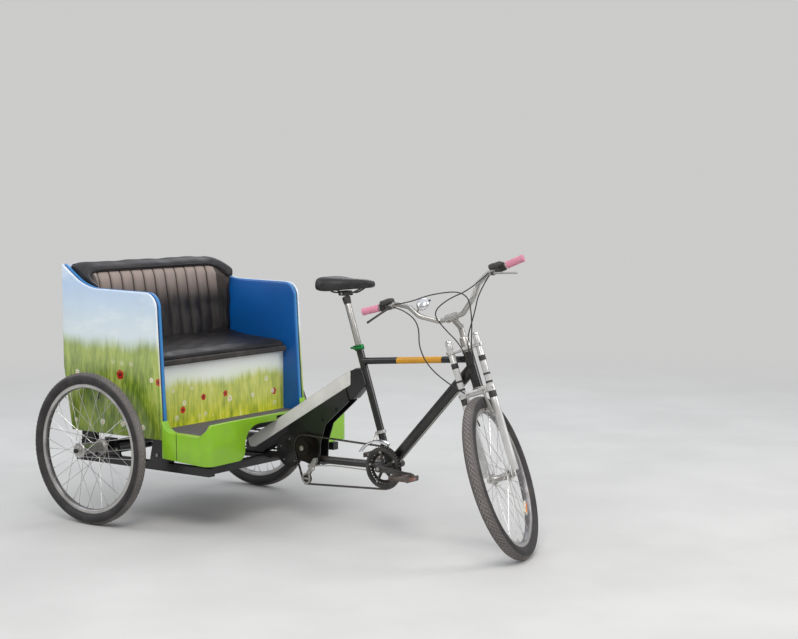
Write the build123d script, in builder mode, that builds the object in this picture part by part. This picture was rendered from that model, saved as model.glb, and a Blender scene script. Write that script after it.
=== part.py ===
"""Cycle rickshaw: a three-wheeled pedal cab with a bench seat for passengers behind its rider.

+X points forward, +Y to the vehicle's left and +Z up, in millimetres. The origin is on the ground,
midway along the parked vehicle, whose front wheel is turned hard to the right.
"""
import os
from math import cos, hypot, pi, radians, sin

from build123d import *

os.makedirs("parts", exist_ok=True)

# Wheels: 26-inch, on wire spokes
tyre_radius = 334.0
tyre_width = 51.0
rim_radius = 285.5
rim_width = 26.0
rim_depth = 20.0
spoke_radius = 1.2
spoke_pairs = 9
track = 1108.0

# Ground plan, as distances ahead of the rear axle
rear_axle_x = -809.7
steer_ground = 1898.0
bottom_bracket_ahead = 1222.0
mid_drive_ahead = 800.0

# Heights and angles of the cycle frame
bottom_bracket_height = 300.0
mid_drive_height = 345.0
seat_angle = 72.0
head_angle = 70.5
park_turn = -73.8

# Frame tubes
head_tube_radius = 21.0
top_tube_radius = 14.3
down_tube_radius = 24.0
seat_tube_radius = 16.0
boom_radius = 17.0
seat_tube_top = 800.0
top_tube_rear_height = 735.0
down_tube_top_height = 742.0
top_tube_front_height = 776.0
weld_bite = 3.0

# Main beam and its pale cover
beam_width = 50.0
beam_depth = 92.0
beam_cover_depth = 52.0
beam_cover_wall = 3.0
beam_foot_ahead, beam_foot_height = 452.0, 351.0
beam_head_ahead, beam_head_height = 1035.0, 693.0

# Passenger body
wheel_gap = 48.5
body_half_width = track / 2 - tyre_width / 2 - wheel_gap
side_wall = 40.0
back_ahead = -237.0
back_wall = 20.0
wall_front = 352.0
wall_bottom = 392.0
arm_height = 1021.0
back_top_height = 1132.0
floor_height = 410.0
floor_wall = 14.0
mat_wall = 10.0
riser_ahead = 270.0
riser_wall = 14.0
deck_height = 706.0
deck_wall = 14.0
back_bend_height = 680.0
back_foot_ahead = -190.0
cushion_height = 69.0
cushion_overhang = 34.0
seat_back_foot_ahead = -95.0
seat_back_head_ahead = -140.0
roll_drop = 32.0
seat_back_top = back_top_height - roll_drop
wing_ahead = -52.0
wing_inset = 54.0

# Footwell apron
apron_back_ahead = 368.0
apron_front_ahead = 632.0
apron_wall = 22.0
apron_bottom = 303.0
apron_top = 490.0
apron_top_side = 472.0
apron_corner = 70.0
step_height = 434.0
arch_half_width = 245.0
arch_height = 449.0
arch_corner = 90.0

# Chassis
rail_size = 35.0
rail_offset = 422.0
rail_bottom = 252.0
axle_beam_radius = 19.0
axle_radius = 10.0
axle_reach = 84.0

# Fork, in distances ahead of the steering axis and up along it from the ground
fork_offset = 42.0
leg_offset = 30.0
leg_spread = 60.0
axle_up = 333.4
crown_up = 687.0
clamp_up = 868.0
leg_top_up = 919.0
crown_depth = 24.0
clamp_depth = 14.0
stanchion_radius = 13.5
lower_leg_radius = 16.5
bare_leg = 25.0
lower_leg_top_up = crown_up - crown_depth / 2 - bare_leg
steerer_radius = 14.3
running_gap = 0.05
headset_gap = 2.0
front_axle_radius = 5.0

# Stem and handlebar
quill_radius = 12.0
quill_top_up = 968.0
bar_ahead = 80.0
bar_up = 998.0
bar_radius = 11.0
grip_start = 281.0
grip_end = 355.0
grip_radius = 15.5

# Crank set
chainring_radius = 86.0
chain_line = 50.0
crank_length = 170.0
crank_offset = 84.0
crank_angle = -4.0
mid_cog_radius = 52.0
chain_pitch_depth = 8.0
chain_width = 7.0


def at(ahead, side, height):
    """Place a point by its distance ahead of the rear axle."""
    return Vector(rear_axle_x + ahead, side, height)


def rod(start, end, radius):
    """Round bar from one point to another."""
    with BuildPart() as bar:
        with BuildSketch(Plane(origin=start, z_dir=end - start)):
            Circle(radius)
        extrude(amount=(end - start).length)
    return bar.part


def plate(outline, side, thickness):
    """Upright plate along the vehicle, from its outline in (ahead, height) pairs and its left face."""
    with BuildPart() as sheet:
        with BuildSketch(Plane.XZ.offset(-side)):
            with BuildLine():
                Polyline(*[(rear_axle_x + ahead, height) for ahead, height in outline], close=True)
            make_face()
        extrude(amount=thickness)
    return sheet.part


def block(low, high):
    """Box between two corners given as (ahead, side, height)."""
    first, last = at(*low), at(*high)
    with BuildPart() as solid:
        with BuildSketch(Plane.XY.offset(first.Z)):
            with Locations(((first.X + last.X) / 2, (first.Y + last.Y) / 2)):
                Rectangle(last.X - first.X, last.Y - first.Y)
        extrude(amount=last.Z - first.Z)
    return solid.part


def bent_tube(points, radii, radius):
    """Round tube along straight runs joined by arcs."""
    with BuildPart() as tube:
        with BuildLine() as path:
            FilletPolyline(*points, radius=radii)
        with BuildSketch(Plane(origin=path.wire() @ 0, z_dir=path.wire() % 0)):
            Circle(radius)
        sweep()
    return tube.part


def finish(piece, name):
    """Name a piece and write it out."""
    piece.part.label = name
    export_step(piece.part, f"parts/{name}.step")


# Steering frame: local X ahead of the steering axis, local Y to its left, local Z up along it
steer_up = Vector(-cos(radians(head_angle)), 0, sin(radians(head_angle)))
steer_ahead = Vector(sin(radians(head_angle)), 0, cos(radians(head_angle))).rotate(
    Axis((0, 0, 0), steer_up), park_turn
)
steer_origin = at(steer_ground, 0, 0)
steering = Plane(origin=steer_origin, x_dir=steer_ahead, z_dir=steer_up)


def on_fork(ahead, left, up):
    """Place a point in the turned steering frame."""
    return steering.from_local_coords(Vector(ahead, left, up))


def axis_point(height):
    """Point of the steering axis at a height above the ground."""
    return steer_origin + steer_up * (height / steer_up.Z)


# Cycle frame
bracket = at(bottom_bracket_ahead, 0, bottom_bracket_height)
seat_up = Vector(-cos(radians(seat_angle)), 0, sin(radians(seat_angle)))


def seat_line(height):
    """Point of the seat tube's centre line at a height."""
    return bracket + seat_up * ((height - bottom_bracket_height) / seat_up.Z)


head_low_up = crown_up + crown_depth / 2 + headset_gap
head_high_up = clamp_up - clamp_depth / 2 - headset_gap
with BuildPart() as head_tube:
    with BuildSketch(steering.offset(head_low_up)):
        Circle(head_tube_radius)
        Circle(steerer_radius + running_gap, mode=Mode.SUBTRACT)
    extrude(amount=head_high_up - head_low_up)
finish(head_tube, "head_tube")

bracket_half_width = 35.0
bracket_radius = 21.0
spindle_radius = 9.0
seat_tube_bar = rod(bracket, seat_line(seat_tube_top), seat_tube_radius)
bracket_shell = rod(
    bracket - Vector(0, bracket_half_width, 0), bracket + Vector(0, bracket_half_width, 0), bracket_radius
)
with BuildPart() as seat_tube:
    add(seat_tube_bar)
    add(bracket_shell)
    with Locations(Plane.XZ.offset(-bracket_half_width) * Location((bracket.X, bracket.Z))):
        Hole(spindle_radius + running_gap, depth=2 * bracket_half_width)
finish(seat_tube, "seat_tube")

top_tube_start = seat_line(top_tube_rear_height)
top_tube_end = axis_point(top_tube_front_height)
top_tube_run = (top_tube_end - top_tube_start).normalized()
head_tube_core = rod(on_fork(0, 0, head_low_up), on_fork(0, 0, head_high_up), head_tube_radius)
with BuildPart() as top_tube:
    add(rod(top_tube_start, top_tube_end, top_tube_radius))
    add(seat_tube_bar, mode=Mode.SUBTRACT)
    add(head_tube_core, mode=Mode.SUBTRACT)
finish(top_tube, "top_tube")

down_tube_end = axis_point(down_tube_top_height)
down_tube_run = (down_tube_end - bracket).normalized()
down_tube_under = Vector(down_tube_run.Z, 0, -down_tube_run.X)
with BuildPart() as down_tube:
    add(rod(bracket, down_tube_end, down_tube_radius))
    add(bracket_shell, mode=Mode.SUBTRACT)
    add(seat_tube_bar, mode=Mode.SUBTRACT)
    add(head_tube_core, mode=Mode.SUBTRACT)
finish(down_tube, "down_tube")

rail_back_ahead = -205.0
rail_front_ahead = 600.0
boom_start = at(rail_back_ahead + rail_size, 0, rail_bottom + rail_size / 2)
with BuildPart() as lower_boom:
    add(rod(boom_start, bracket, boom_radius))
    add(bracket_shell, mode=Mode.SUBTRACT)
    add(seat_tube_bar, mode=Mode.SUBTRACT)
finish(lower_boom, "lower_boom")

# Main beam: a box section from under the footwell up to the seat tube, with a deep neck at its top
beam_run = Vector(beam_head_ahead - beam_foot_ahead, 0, beam_head_height - beam_foot_height)
beam_slope = beam_run.Z / beam_run.X
beam_drop = beam_depth * hypot(1, beam_slope)
neck_top = seat_line(beam_head_height + 12)
neck_foot = seat_line(beam_head_height - 100)
boom_slope = (bracket.Z - boom_start.Z) / (bracket.X - boom_start.X)
boom_top = boom_start.Z + boom_slope * (beam_foot_ahead - boom_start.X + rear_axle_x) + boom_radius
foot_level = boom_top - weld_bite
foot_front = beam_foot_ahead + (foot_level - beam_foot_height + beam_drop) / beam_slope
beam_outline = [
    (beam_foot_ahead - 14, beam_foot_height - 22),
    (beam_foot_ahead, beam_foot_height),
    (beam_head_ahead, beam_head_height),
    (neck_top.X - rear_axle_x - seat_tube_radius - 14, beam_head_height + 12),
    (neck_top.X - rear_axle_x, beam_head_height + 12),
    (neck_foot.X - rear_axle_x, beam_head_height - 100),
    (beam_head_ahead + 8, beam_head_height - beam_drop - 26),
    (beam_head_ahead - 20, beam_head_height - beam_drop - 16),
    (foot_front, foot_level),
    (beam_foot_ahead - 6, foot_level),
]
with BuildPart() as main_beam:
    add(plate(beam_outline, beam_width / 2, beam_width))
    add(seat_tube_bar, mode=Mode.SUBTRACT)
    add(lower_boom.part, mode=Mode.SUBTRACT)
finish(main_beam, "main_beam")

cover_drop = beam_cover_depth * hypot(1, beam_slope)
cover_rise = beam_cover_wall * hypot(1, beam_slope)
cover_outer = [
    (beam_foot_ahead + 4, beam_foot_height + beam_slope * 4 + cover_rise),
    (beam_head_ahead, beam_head_height + cover_rise),
    (beam_head_ahead, beam_head_height - cover_drop),
    (beam_foot_ahead + 46, beam_foot_height + beam_slope * 46 - cover_drop),
    (beam_foot_ahead + 14, beam_foot_height - 34),
]
cover_core = plate(beam_outline, beam_width / 2, beam_width)
with BuildPart() as beam_cover:
    add(plate(cover_outer, beam_width / 2 + beam_cover_wall, beam_width + 2 * beam_cover_wall))
    add(cover_core, mode=Mode.SUBTRACT)
finish(beam_cover, "beam_cover")

# Two plates that hang from the beam and carry the middle drive
drive_plate_wall = 5.0
drive_plate_half_gap = beam_width / 2
cover_edge_gap = 2.0
plate_back_ahead, plate_front_ahead = 690.0, 1010.0


def cover_edge(ahead):
    """Height just under the beam cover's lower edge."""
    return beam_foot_height + beam_slope * (ahead - beam_foot_ahead) - cover_drop - cover_edge_gap


drive_plate_outline = [
    (plate_back_ahead, cover_edge(plate_back_ahead)),
    (plate_front_ahead, cover_edge(plate_front_ahead)),
    (1028, 562),
    (900, 452),
    (872, 372),
    (866, 268),
    (838, 262),
    (745, 290),
    (700, 330),
]
mid_shaft = at(mid_drive_ahead, 0, mid_drive_height)
mid_shaft_radius = 8.0
with BuildPart() as drive_plates:
    for left_face in (drive_plate_half_gap + drive_plate_wall, -drive_plate_half_gap):
        add(plate(drive_plate_outline, left_face, drive_plate_wall))
    outer_face = drive_plate_half_gap + drive_plate_wall
    with Locations(Plane.XZ.offset(-outer_face) * Location((mid_shaft.X, mid_shaft.Z))):
        Hole(mid_shaft_radius + running_gap, depth=2 * outer_face)
finish(drive_plates, "drive_plates")

# Chassis under the passenger body
cross_half_width = rail_offset - rail_size / 2
with BuildPart() as ladder_frame:
    for side in (-rail_offset, rail_offset):
        add(
            block(
                (rail_back_ahead, side - rail_size / 2, rail_bottom),
                (rail_front_ahead, side + rail_size / 2, rail_bottom + rail_size),
            )
        )
    for ahead in (rail_back_ahead + rail_size, rail_front_ahead - rail_size):
        add(
            block(
                (ahead - rail_size, -cross_half_width, rail_bottom),
                (ahead, cross_half_width, rail_bottom + rail_size),
            )
        )
    add(lower_boom.part, mode=Mode.SUBTRACT)
finish(ladder_frame, "ladder_frame")

wheel_side = track / 2
hub_inner = 88.0
hub_outer = 70.0
carrier_wall = 10.0
carrier_face = wheel_side - hub_inner - 8
axle_core = rod(at(0, -carrier_face, tyre_radius), at(0, carrier_face, tyre_radius), axle_beam_radius)
carrier_outline = [
    (-60, rail_bottom + rail_size),
    (-34, tyre_radius + 32),
    (34, tyre_radius + 32),
    (60, rail_bottom + rail_size),
]
with BuildPart() as axle_beam:
    add(axle_core)
    for left_face in (rail_offset + carrier_wall / 2, -rail_offset + carrier_wall / 2):
        add(plate(carrier_outline, left_face, carrier_wall))
    for facing in (-1, 1):
        add(
            rod(
                at(0, facing * carrier_face, tyre_radius),
                at(0, facing * (wheel_side + axle_reach), tyre_radius),
                axle_radius,
            )
        )
finish(axle_beam, "axle_beam")

# Passenger body: side walls with a swept-down arm, back, floor, riser, deck
arm_corner = 66.0
dip_bend = 245.0
dip_ahead = -88.0
dip_height = 1031.0
wall_front_top = wall_front - 14.0
rim_round = 13.0
inner_half_width = body_half_width - side_wall
rear_top = (rear_axle_x + back_ahead, back_top_height)
front_low = (rear_axle_x + apron_back_ahead - 2, wall_bottom + 80)
for name, facing in (("side_wall_right", -1), ("side_wall_left", 1)):
    with BuildPart() as wall:
        with BuildSketch(Plane.XZ.offset(-facing * inner_half_width)):
            with BuildLine():
                FilletPolyline(
                    rear_top,
                    (rear_axle_x + dip_ahead, dip_height),
                    (rear_axle_x + wall_front_top, arm_height),
                    front_low,
                    radius=[dip_bend, arm_corner],
                )
                Polyline(
                    front_low,
                    (front_low[0], wall_bottom),
                    (rear_axle_x + back_foot_ahead, wall_bottom),
                    (rear_axle_x + back_ahead, back_bend_height),
                    rear_top,
                )
            make_face()
        extrude(amount=-facing * side_wall)
        rim_edges = wall.faces().sort_by(Axis.Y)[0 if facing < 0 else -1].edges()
        fillet(rim_edges.filter_by(lambda edge: edge.center().Z > wall_bottom + 60), radius=rim_round)
    finish(wall, name)

with BuildPart() as back_panel:
    add(
        plate(
            [
                (back_ahead, back_top_height - 6),
                (back_ahead + back_wall, back_top_height - 6),
                (back_ahead + back_wall, back_bend_height),
                (back_foot_ahead + back_wall, wall_bottom),
                (back_foot_ahead, wall_bottom),
                (back_ahead, back_bend_height),
            ],
            inner_half_width,
            2 * inner_half_width,
        )
    )
finish(back_panel, "back_panel")

# Floor, with a small tunnel over the place where the beam comes up through it
floor_back = back_foot_ahead + back_wall
floor_front = apron_front_ahead - apron_wall
tunnel_wall = 5.0
tunnel_half_width = beam_width / 2 + beam_cover_wall + 6
tunnel_back = beam_foot_ahead + 20
beam_at_apron = beam_foot_height + beam_slope * (apron_front_ahead - beam_foot_ahead)
tunnel_top = beam_at_apron + cover_rise + 6 + tunnel_wall
inner_corner = apron_corner - apron_wall
with BuildPart() as tub_floor:
    add(
        block(
            (floor_back, -inner_half_width, floor_height - floor_wall),
            (floor_front, inner_half_width, floor_height),
        )
    )
    fillet(tub_floor.edges().filter_by(Axis.Z).group_by(Axis.X)[-1], radius=inner_corner)
    add(
        block(
            (tunnel_back - tunnel_wall, -tunnel_half_width - tunnel_wall, floor_height - floor_wall),
            (floor_front, tunnel_half_width + tunnel_wall, tunnel_top),
        )
    )
    add(
        block(
            (tunnel_back, -tunnel_half_width, floor_height - floor_wall),
            (floor_front, tunnel_half_width, tunnel_top - tunnel_wall),
        ),
        mode=Mode.SUBTRACT,
    )
finish(tub_floor, "tub_floor")

mat_margin = 3.0
with BuildPart() as footwell_mat:
    add(
        block(
            (riser_ahead, -inner_half_width + mat_margin, floor_height),
            (floor_front - mat_margin, inner_half_width - mat_margin, floor_height + mat_wall),
        )
    )
    fillet(footwell_mat.edges().filter_by(Axis.Z).group_by(Axis.X)[-1], radius=inner_corner - mat_margin)
    add(
        block(
            (tunnel_back - tunnel_wall - 1, -tunnel_half_width - tunnel_wall - 1, floor_height),
            (floor_front, tunnel_half_width + tunnel_wall + 1, floor_height + mat_wall),
        ),
        mode=Mode.SUBTRACT,
    )
finish(footwell_mat, "footwell_mat")

with BuildPart() as seat_riser:
    add(
        block(
            (riser_ahead - riser_wall, -inner_half_width, floor_height),
            (riser_ahead, inner_half_width, deck_height - deck_wall),
        )
    )
finish(seat_riser, "seat_riser")

with BuildPart() as seat_deck:
    add(
        block(
            (back_ahead + back_wall, -inner_half_width, deck_height - deck_wall),
            (riser_ahead, inner_half_width, deck_height),
        )
    )
finish(seat_deck, "seat_deck")

# Upholstery
cushion_gap = 3.0
cushion_corner = 17.0
cushion_front_height = 40.0
cushion_half_width = inner_half_width - cushion_gap
cushion_outline = [
    (seat_back_foot_ahead + 4, deck_height),
    (riser_ahead + cushion_overhang, deck_height),
    (riser_ahead + cushion_overhang, deck_height + cushion_front_height),
    (seat_back_foot_ahead + 4, deck_height + cushion_height),
]
with BuildPart() as seat_cushion:
    add(plate(cushion_outline, cushion_half_width, 2 * cushion_half_width))
    front_edges = seat_cushion.edges().filter_by(Axis.Y).group_by(Axis.X)[-1]
    fillet(front_edges, radius=cushion_corner)


def back_section(front_ahead, height):
    """Plan outline of the seat back at a height: flat in the middle, curving forward at both walls."""
    half = inner_half_width - 1
    wing_shift = wing_ahead - seat_back_foot_ahead
    rear = rear_axle_x + back_ahead + back_wall
    front = rear_axle_x + front_ahead
    with BuildSketch(Plane.XY.offset(height)) as outline:
        with BuildLine():
            Polyline(
                (rear, -half),
                (rear_axle_x + wing_ahead, -half),
                (rear_axle_x + wing_ahead, -half + 8),
                (front + wing_shift * 0.25, -half + wing_inset * 0.6),
                (front, -half + wing_inset * 1.4),
                (front, half - wing_inset * 1.4),
                (front + wing_shift * 0.25, half - wing_inset * 0.6),
                (rear_axle_x + wing_ahead, half - 8),
                (rear_axle_x + wing_ahead, half),
                (rear, half),
                close=True,
            )
        make_face()
    return outline.sketch


seat_back_bottom = deck_height
with BuildPart() as seat_back:
    add(back_section(seat_back_foot_ahead, seat_back_bottom))
    add(back_section(seat_back_head_ahead, seat_back_top - 20))
    loft(ruled=True)
finish(seat_back, "seat_back")
with seat_cushion:
    add(seat_back.part, mode=Mode.SUBTRACT)
finish(seat_cushion, "seat_cushion")

roll_outline = [
    (back_ahead - 4, back_top_height - 30),
    (back_ahead - 4, back_top_height + 4),
    (back_ahead + 16, back_top_height + 14),
    (seat_back_head_ahead - 30, back_top_height + 2),
    (seat_back_head_ahead + 4, seat_back_top - 4),
    (seat_back_head_ahead + 4, seat_back_top - 20),
    (back_ahead + back_wall, seat_back_top - 20),
    (back_ahead + back_wall, back_top_height - 6),
    (back_ahead, back_top_height - 6),
    (back_ahead, back_top_height - 30),
]
with BuildPart() as back_roll:
    add(plate(roll_outline, inner_half_width - 1, 2 * inner_half_width - 2))
finish(back_roll, "back_roll")

# Footwell apron: a shallow tub with low steps at its sides and an arch for the beam
with BuildPart() as apron:
    with BuildSketch(Plane.XY.offset(apron_bottom)):
        with Locations((rear_axle_x + (apron_back_ahead + apron_front_ahead) / 2, 0)):
            outer_plan = Rectangle(apron_front_ahead - apron_back_ahead, 2 * body_half_width)
        fillet(outer_plan.vertices().group_by(Axis.X)[-1], radius=apron_corner)
    extrude(amount=apron_top - apron_bottom)
    with BuildSketch(Plane.XY.offset(apron_bottom)):
        depth = apron_front_ahead - apron_wall - apron_back_ahead
        with Locations((rear_axle_x + apron_back_ahead + depth / 2, 0)):
            inner_plan = Rectangle(depth, 2 * (body_half_width - side_wall))
        fillet(inner_plan.vertices().group_by(Axis.X)[-1], radius=apron_corner - apron_wall)
    extrude(amount=apron_top - apron_bottom, mode=Mode.SUBTRACT)
    with BuildSketch(Plane.XZ.offset(body_half_width)):
        with BuildLine():
            step_rise = rear_axle_x + apron_front_ahead - 60
            Polyline(
                (rear_axle_x + apron_back_ahead - 1, apron_top + 10),
                (rear_axle_x + apron_back_ahead - 1, apron_top_side),
                (rear_axle_x + apron_back_ahead + 14, step_height + 12),
                (rear_axle_x + apron_back_ahead + 48, step_height),
                (step_rise, step_height),
                (step_rise + 40, apron_top + 1),
                (step_rise + 40, apron_top + 10),
                close=True,
            )
        make_face()
    extrude(amount=-2 * body_half_width, mode=Mode.SUBTRACT)
    with BuildSketch(Plane.YZ.offset(rear_axle_x + apron_front_ahead - 2 * apron_wall)):
        with Locations((0, (apron_bottom - arch_corner + arch_height) / 2)):
            RectangleRounded(2 * arch_half_width, arch_height - apron_bottom + arch_corner, arch_corner - 1)
        with Locations((0, (arch_height + tunnel_top - tunnel_wall) / 2 - 10)):
            Rectangle(2 * tunnel_half_width, tunnel_top - tunnel_wall - arch_height + 20)
    extrude(amount=3 * apron_wall, mode=Mode.SUBTRACT)
    with BuildSketch(Plane.YZ.offset(rear_axle_x + apron_back_ahead - 1)):
        with BuildLine():
            side_point = (body_half_width, apron_top_side)
            ThreePointArc((-body_half_width, apron_top_side), (0, apron_top), side_point)
            Polyline(
                (body_half_width, apron_top_side),
                (body_half_width, apron_top + 10),
                (-body_half_width, apron_top + 10),
                (-body_half_width, apron_top_side),
            )
        make_face()
    extrude(amount=apron_front_ahead - apron_back_ahead + 2, mode=Mode.SUBTRACT)
finish(apron, "apron")

# Posts that carry the passenger body on the chassis
rail_top = rail_bottom + rail_size
mount_top = wall_bottom - 2
mount_outlines = [
    [(252, rail_top), (366, rail_top), (366, mount_top), (276, mount_top)],
    [(-178, rail_top), (-96, rail_top), (-96, mount_top), (-166, mount_top)],
]
with BuildPart() as tub_mounts:
    for outline in mount_outlines:
        for left_face in (rail_offset + rail_size / 2, -rail_offset + rail_size / 2):
            add(plate(outline, left_face, rail_size))
    for ahead in (320, -130):
        for side in (-rail_offset, rail_offset):
            add(
                block(
                    (ahead - 30, side - rail_size / 2, mount_top),
                    (ahead + 30, side + rail_size / 2, floor_height - floor_wall),
                )
            )
finish(tub_mounts, "tub_mounts")

# Tail lamps on the back panel
lamp_height = 470.0
lamp_side = 380.0
lamp_depth = 22.0
lamp_radius = 32.0
back_run = at(back_foot_ahead, 0, wall_bottom) - at(back_ahead, 0, back_bend_height)
lamp_ahead = back_ahead + (lamp_height - back_bend_height) / back_run.Z * back_run.X
lamp_way = Vector(back_run.Z, 0, -back_run.X).normalized()
with BuildPart() as tail_lamps:
    for side in (-lamp_side, lamp_side):
        lamp_seat = at(lamp_ahead, side, lamp_height)
        add(rod(lamp_seat, lamp_seat + lamp_way * lamp_depth, lamp_radius))
finish(tail_lamps, "tail_lamps")

# Saddle, its post and the clamp that holds the post
post_radius = 13.6
post_top = 1000.0
clamp_half_depth = 10.0
clamp_lever_length = 62.0
clamp_centre = seat_line(seat_tube_top - clamp_half_depth)
with BuildPart() as seat_clamp:
    with BuildSketch(Plane(origin=seat_line(seat_tube_top), z_dir=seat_up).offset(-2 * clamp_half_depth)):
        Circle(seat_tube_radius + 5)
        Circle(seat_tube_radius, mode=Mode.SUBTRACT)
    extrude(amount=2 * clamp_half_depth)
    bolt_middle = clamp_centre - Vector(seat_tube_radius + 6, 0, 0)
    add(rod(bolt_middle - Vector(0, 28, 0), bolt_middle + Vector(0, 24, 0), 5))
    add(rod(bolt_middle - Vector(0, 28, 0), bolt_middle + Vector(clamp_lever_length, -32, 2), 5))
    add(seat_tube_bar, mode=Mode.SUBTRACT)
finish(seat_clamp, "seat_clamp")

saddle_tail_ahead = 866.0
saddle_nose_ahead = 1142.0
saddle_bottom = 1042.0
saddle_depth = 44.0
saddle_half_width = 84.0
nose_half_width = 20.0
with BuildPart() as saddle:
    with BuildSketch(Plane.XY.offset(saddle_bottom)):
        with BuildLine():
            tail = rear_axle_x + saddle_tail_ahead
            nose = rear_axle_x + saddle_nose_ahead
            Polyline(
                (tail, -saddle_half_width * 0.6),
                (tail + 30, -saddle_half_width),
                (tail + 90, -saddle_half_width * 0.86),
                (tail + 165, -nose_half_width * 1.5),
                (nose - 12, -nose_half_width),
                (nose, -nose_half_width * 0.5),
                (nose, nose_half_width * 0.5),
                (nose - 12, nose_half_width),
                (tail + 165, nose_half_width * 1.5),
                (tail + 90, saddle_half_width * 0.86),
                (tail + 30, saddle_half_width),
                (tail, saddle_half_width * 0.6),
                close=True,
            )
        make_face()
    extrude(amount=saddle_depth)
    fillet(saddle.faces().sort_by(Axis.Z)[-1].edges(), radius=9)
finish(saddle, "saddle")

rail_half_gap = 22.0
saddle_rail_radius = 3.5
saddle_rail_height = saddle_bottom - 20
with BuildPart() as seatpost:
    add(rod(seat_line(seat_tube_top), seat_line(post_top + 8), post_radius))
    for side in (-rail_half_gap, rail_half_gap):
        add(
            bent_tube(
                [
                    at(saddle_tail_ahead + 40, side, saddle_bottom + 2),
                    at(saddle_tail_ahead + 66, side, saddle_rail_height),
                    at(saddle_tail_ahead + 172, side, saddle_rail_height),
                    at(saddle_tail_ahead + 220, side, saddle_bottom + 2),
                ],
                [14, 20],
                saddle_rail_radius,
            )
        )
    add(
        block(
            (seat_line(post_top).X - rear_axle_x - 18, -30, post_top),
            (seat_line(post_top).X - rear_axle_x + 22, 30, saddle_rail_height + 8),
        )
    )
    add(saddle.part, mode=Mode.SUBTRACT)
finish(seatpost, "seatpost")


# Wheels
def tyre_ring(centre, axle):
    """Tyre of straight-sided section, hollow at its inner side to seat on the rim."""
    half = tyre_width / 2
    crown = tyre_radius
    with BuildPart() as ring:
        across = axle.cross(Vector(0, 0, 1))
        section = Plane(origin=centre, x_dir=across.normalized(), z_dir=axle.cross(across).normalized())
        with BuildSketch(section):
            with BuildLine():
                Polyline(
                    (rim_radius + 1, -half * 0.42),
                    (rim_radius + half * 0.6, -half * 0.92),
                    (crown - half * 0.9, -half),
                    (crown - half * 0.28, -half * 0.72),
                    (crown, -half * 0.22),
                    (crown, half * 0.22),
                    (crown - half * 0.28, half * 0.72),
                    (crown - half * 0.9, half),
                    (rim_radius + half * 0.6, half * 0.92),
                    (rim_radius + 1, half * 0.42),
                    close=True,
                )
            make_face()
        revolve(axis=Axis(centre, axle))
    return ring.part


def wire_wheel(centre, axle, hub_left, hub_right, flange_radius, barrel_radius, bore_radius):
    """Rim, crossed spokes and flanged hub, made as one piece.

    hub_left and hub_right are how far the hub reaches along the axle and against it.
    """
    up = axle.cross(Vector(0, 0, 1)).cross(axle).normalized()
    across = axle.cross(up)
    flange_wall = 4.0
    end_margin = 12.0
    spokes = []
    for reach, start_turn in ((hub_left - end_margin, 0.0), (-(hub_right - end_margin), 0.5)):
        for index in range(spoke_pairs):
            for lean, skew in ((-1, -1.6), (1, 1.6)):
                hub_turn = 2 * pi * (index + start_turn) / spoke_pairs
                rim_turn = hub_turn + lean * (2.5 * pi / spoke_pairs) * 0.9 + pi / spoke_pairs * (lean > 0)
                hub_way = up * cos(hub_turn) + across * sin(hub_turn)
                rim_way = up * cos(rim_turn) + across * sin(rim_turn)
                inner = centre + hub_way * (flange_radius - 4) + axle * (reach + skew)
                outer = centre + rim_way * (rim_radius - rim_depth + 2)
                spokes.append(rod(inner, outer, spoke_radius))
    with BuildPart() as wheel:
        with BuildSketch(Plane(origin=centre, x_dir=up, z_dir=across)):
            half = rim_width / 2
            with BuildLine():
                Polyline(
                    (rim_radius, -half),
                    (rim_radius, half),
                    (rim_radius - rim_depth * 0.5, half),
                    (rim_radius - rim_depth, half * 0.5),
                    (rim_radius - rim_depth, -half * 0.5),
                    (rim_radius - rim_depth * 0.5, -half),
                    close=True,
                )
            make_face()
        revolve(axis=Axis(centre, axle))
        with BuildSketch(Plane(origin=centre - axle * hub_right, z_dir=axle)):
            Circle(barrel_radius)
        extrude(amount=hub_left + hub_right)
        for reach in (hub_left - end_margin, -(hub_right - end_margin)):
            with BuildSketch(Plane(origin=centre + axle * (reach - flange_wall), z_dir=axle)):
                Circle(flange_radius)
            extrude(amount=2 * flange_wall)
        add(spokes)
        with BuildSketch(Plane(origin=centre - axle * hub_right, z_dir=axle)):
            Circle(bore_radius)
        extrude(amount=hub_left + hub_right, mode=Mode.SUBTRACT)
    return wheel.part


left_way = Vector(0, 1, 0)
right_hub = at(0, -wheel_side, tyre_radius)
left_hub = at(0, wheel_side, tyre_radius)
rear_flange_radius = 34.0
rear_barrel_radius = 22.0
with BuildPart() as rear_wheel_right:
    add(
        wire_wheel(
            right_hub, left_way, hub_inner, hub_outer, rear_flange_radius, rear_barrel_radius,
            axle_radius + running_gap,
        )
    )
finish(rear_wheel_right, "rear_wheel_right")
with BuildPart() as rear_wheel_left:
    add(mirror(rear_wheel_right.part, about=Plane.XZ))
finish(rear_wheel_left, "rear_wheel_left")
with BuildPart() as rear_tyre_right:
    add(tyre_ring(right_hub, left_way))
finish(rear_tyre_right, "rear_tyre_right")
with BuildPart() as rear_tyre_left:
    add(tyre_ring(left_hub, left_way))
finish(rear_tyre_left, "rear_tyre_left")

front_hub = on_fork(fork_offset, 0, axle_up)
front_way = steering.y_dir
front_hub_half = 44.0
with BuildPart() as front_wheel:
    add(
        wire_wheel(
            front_hub, front_way, front_hub_half, front_hub_half, 24.0, 15.0, front_axle_radius + running_gap
        )
    )
finish(front_wheel, "front_wheel")
with BuildPart() as front_tyre:
    add(tyre_ring(front_hub, front_way))
finish(front_tyre, "front_tyre")

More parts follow.
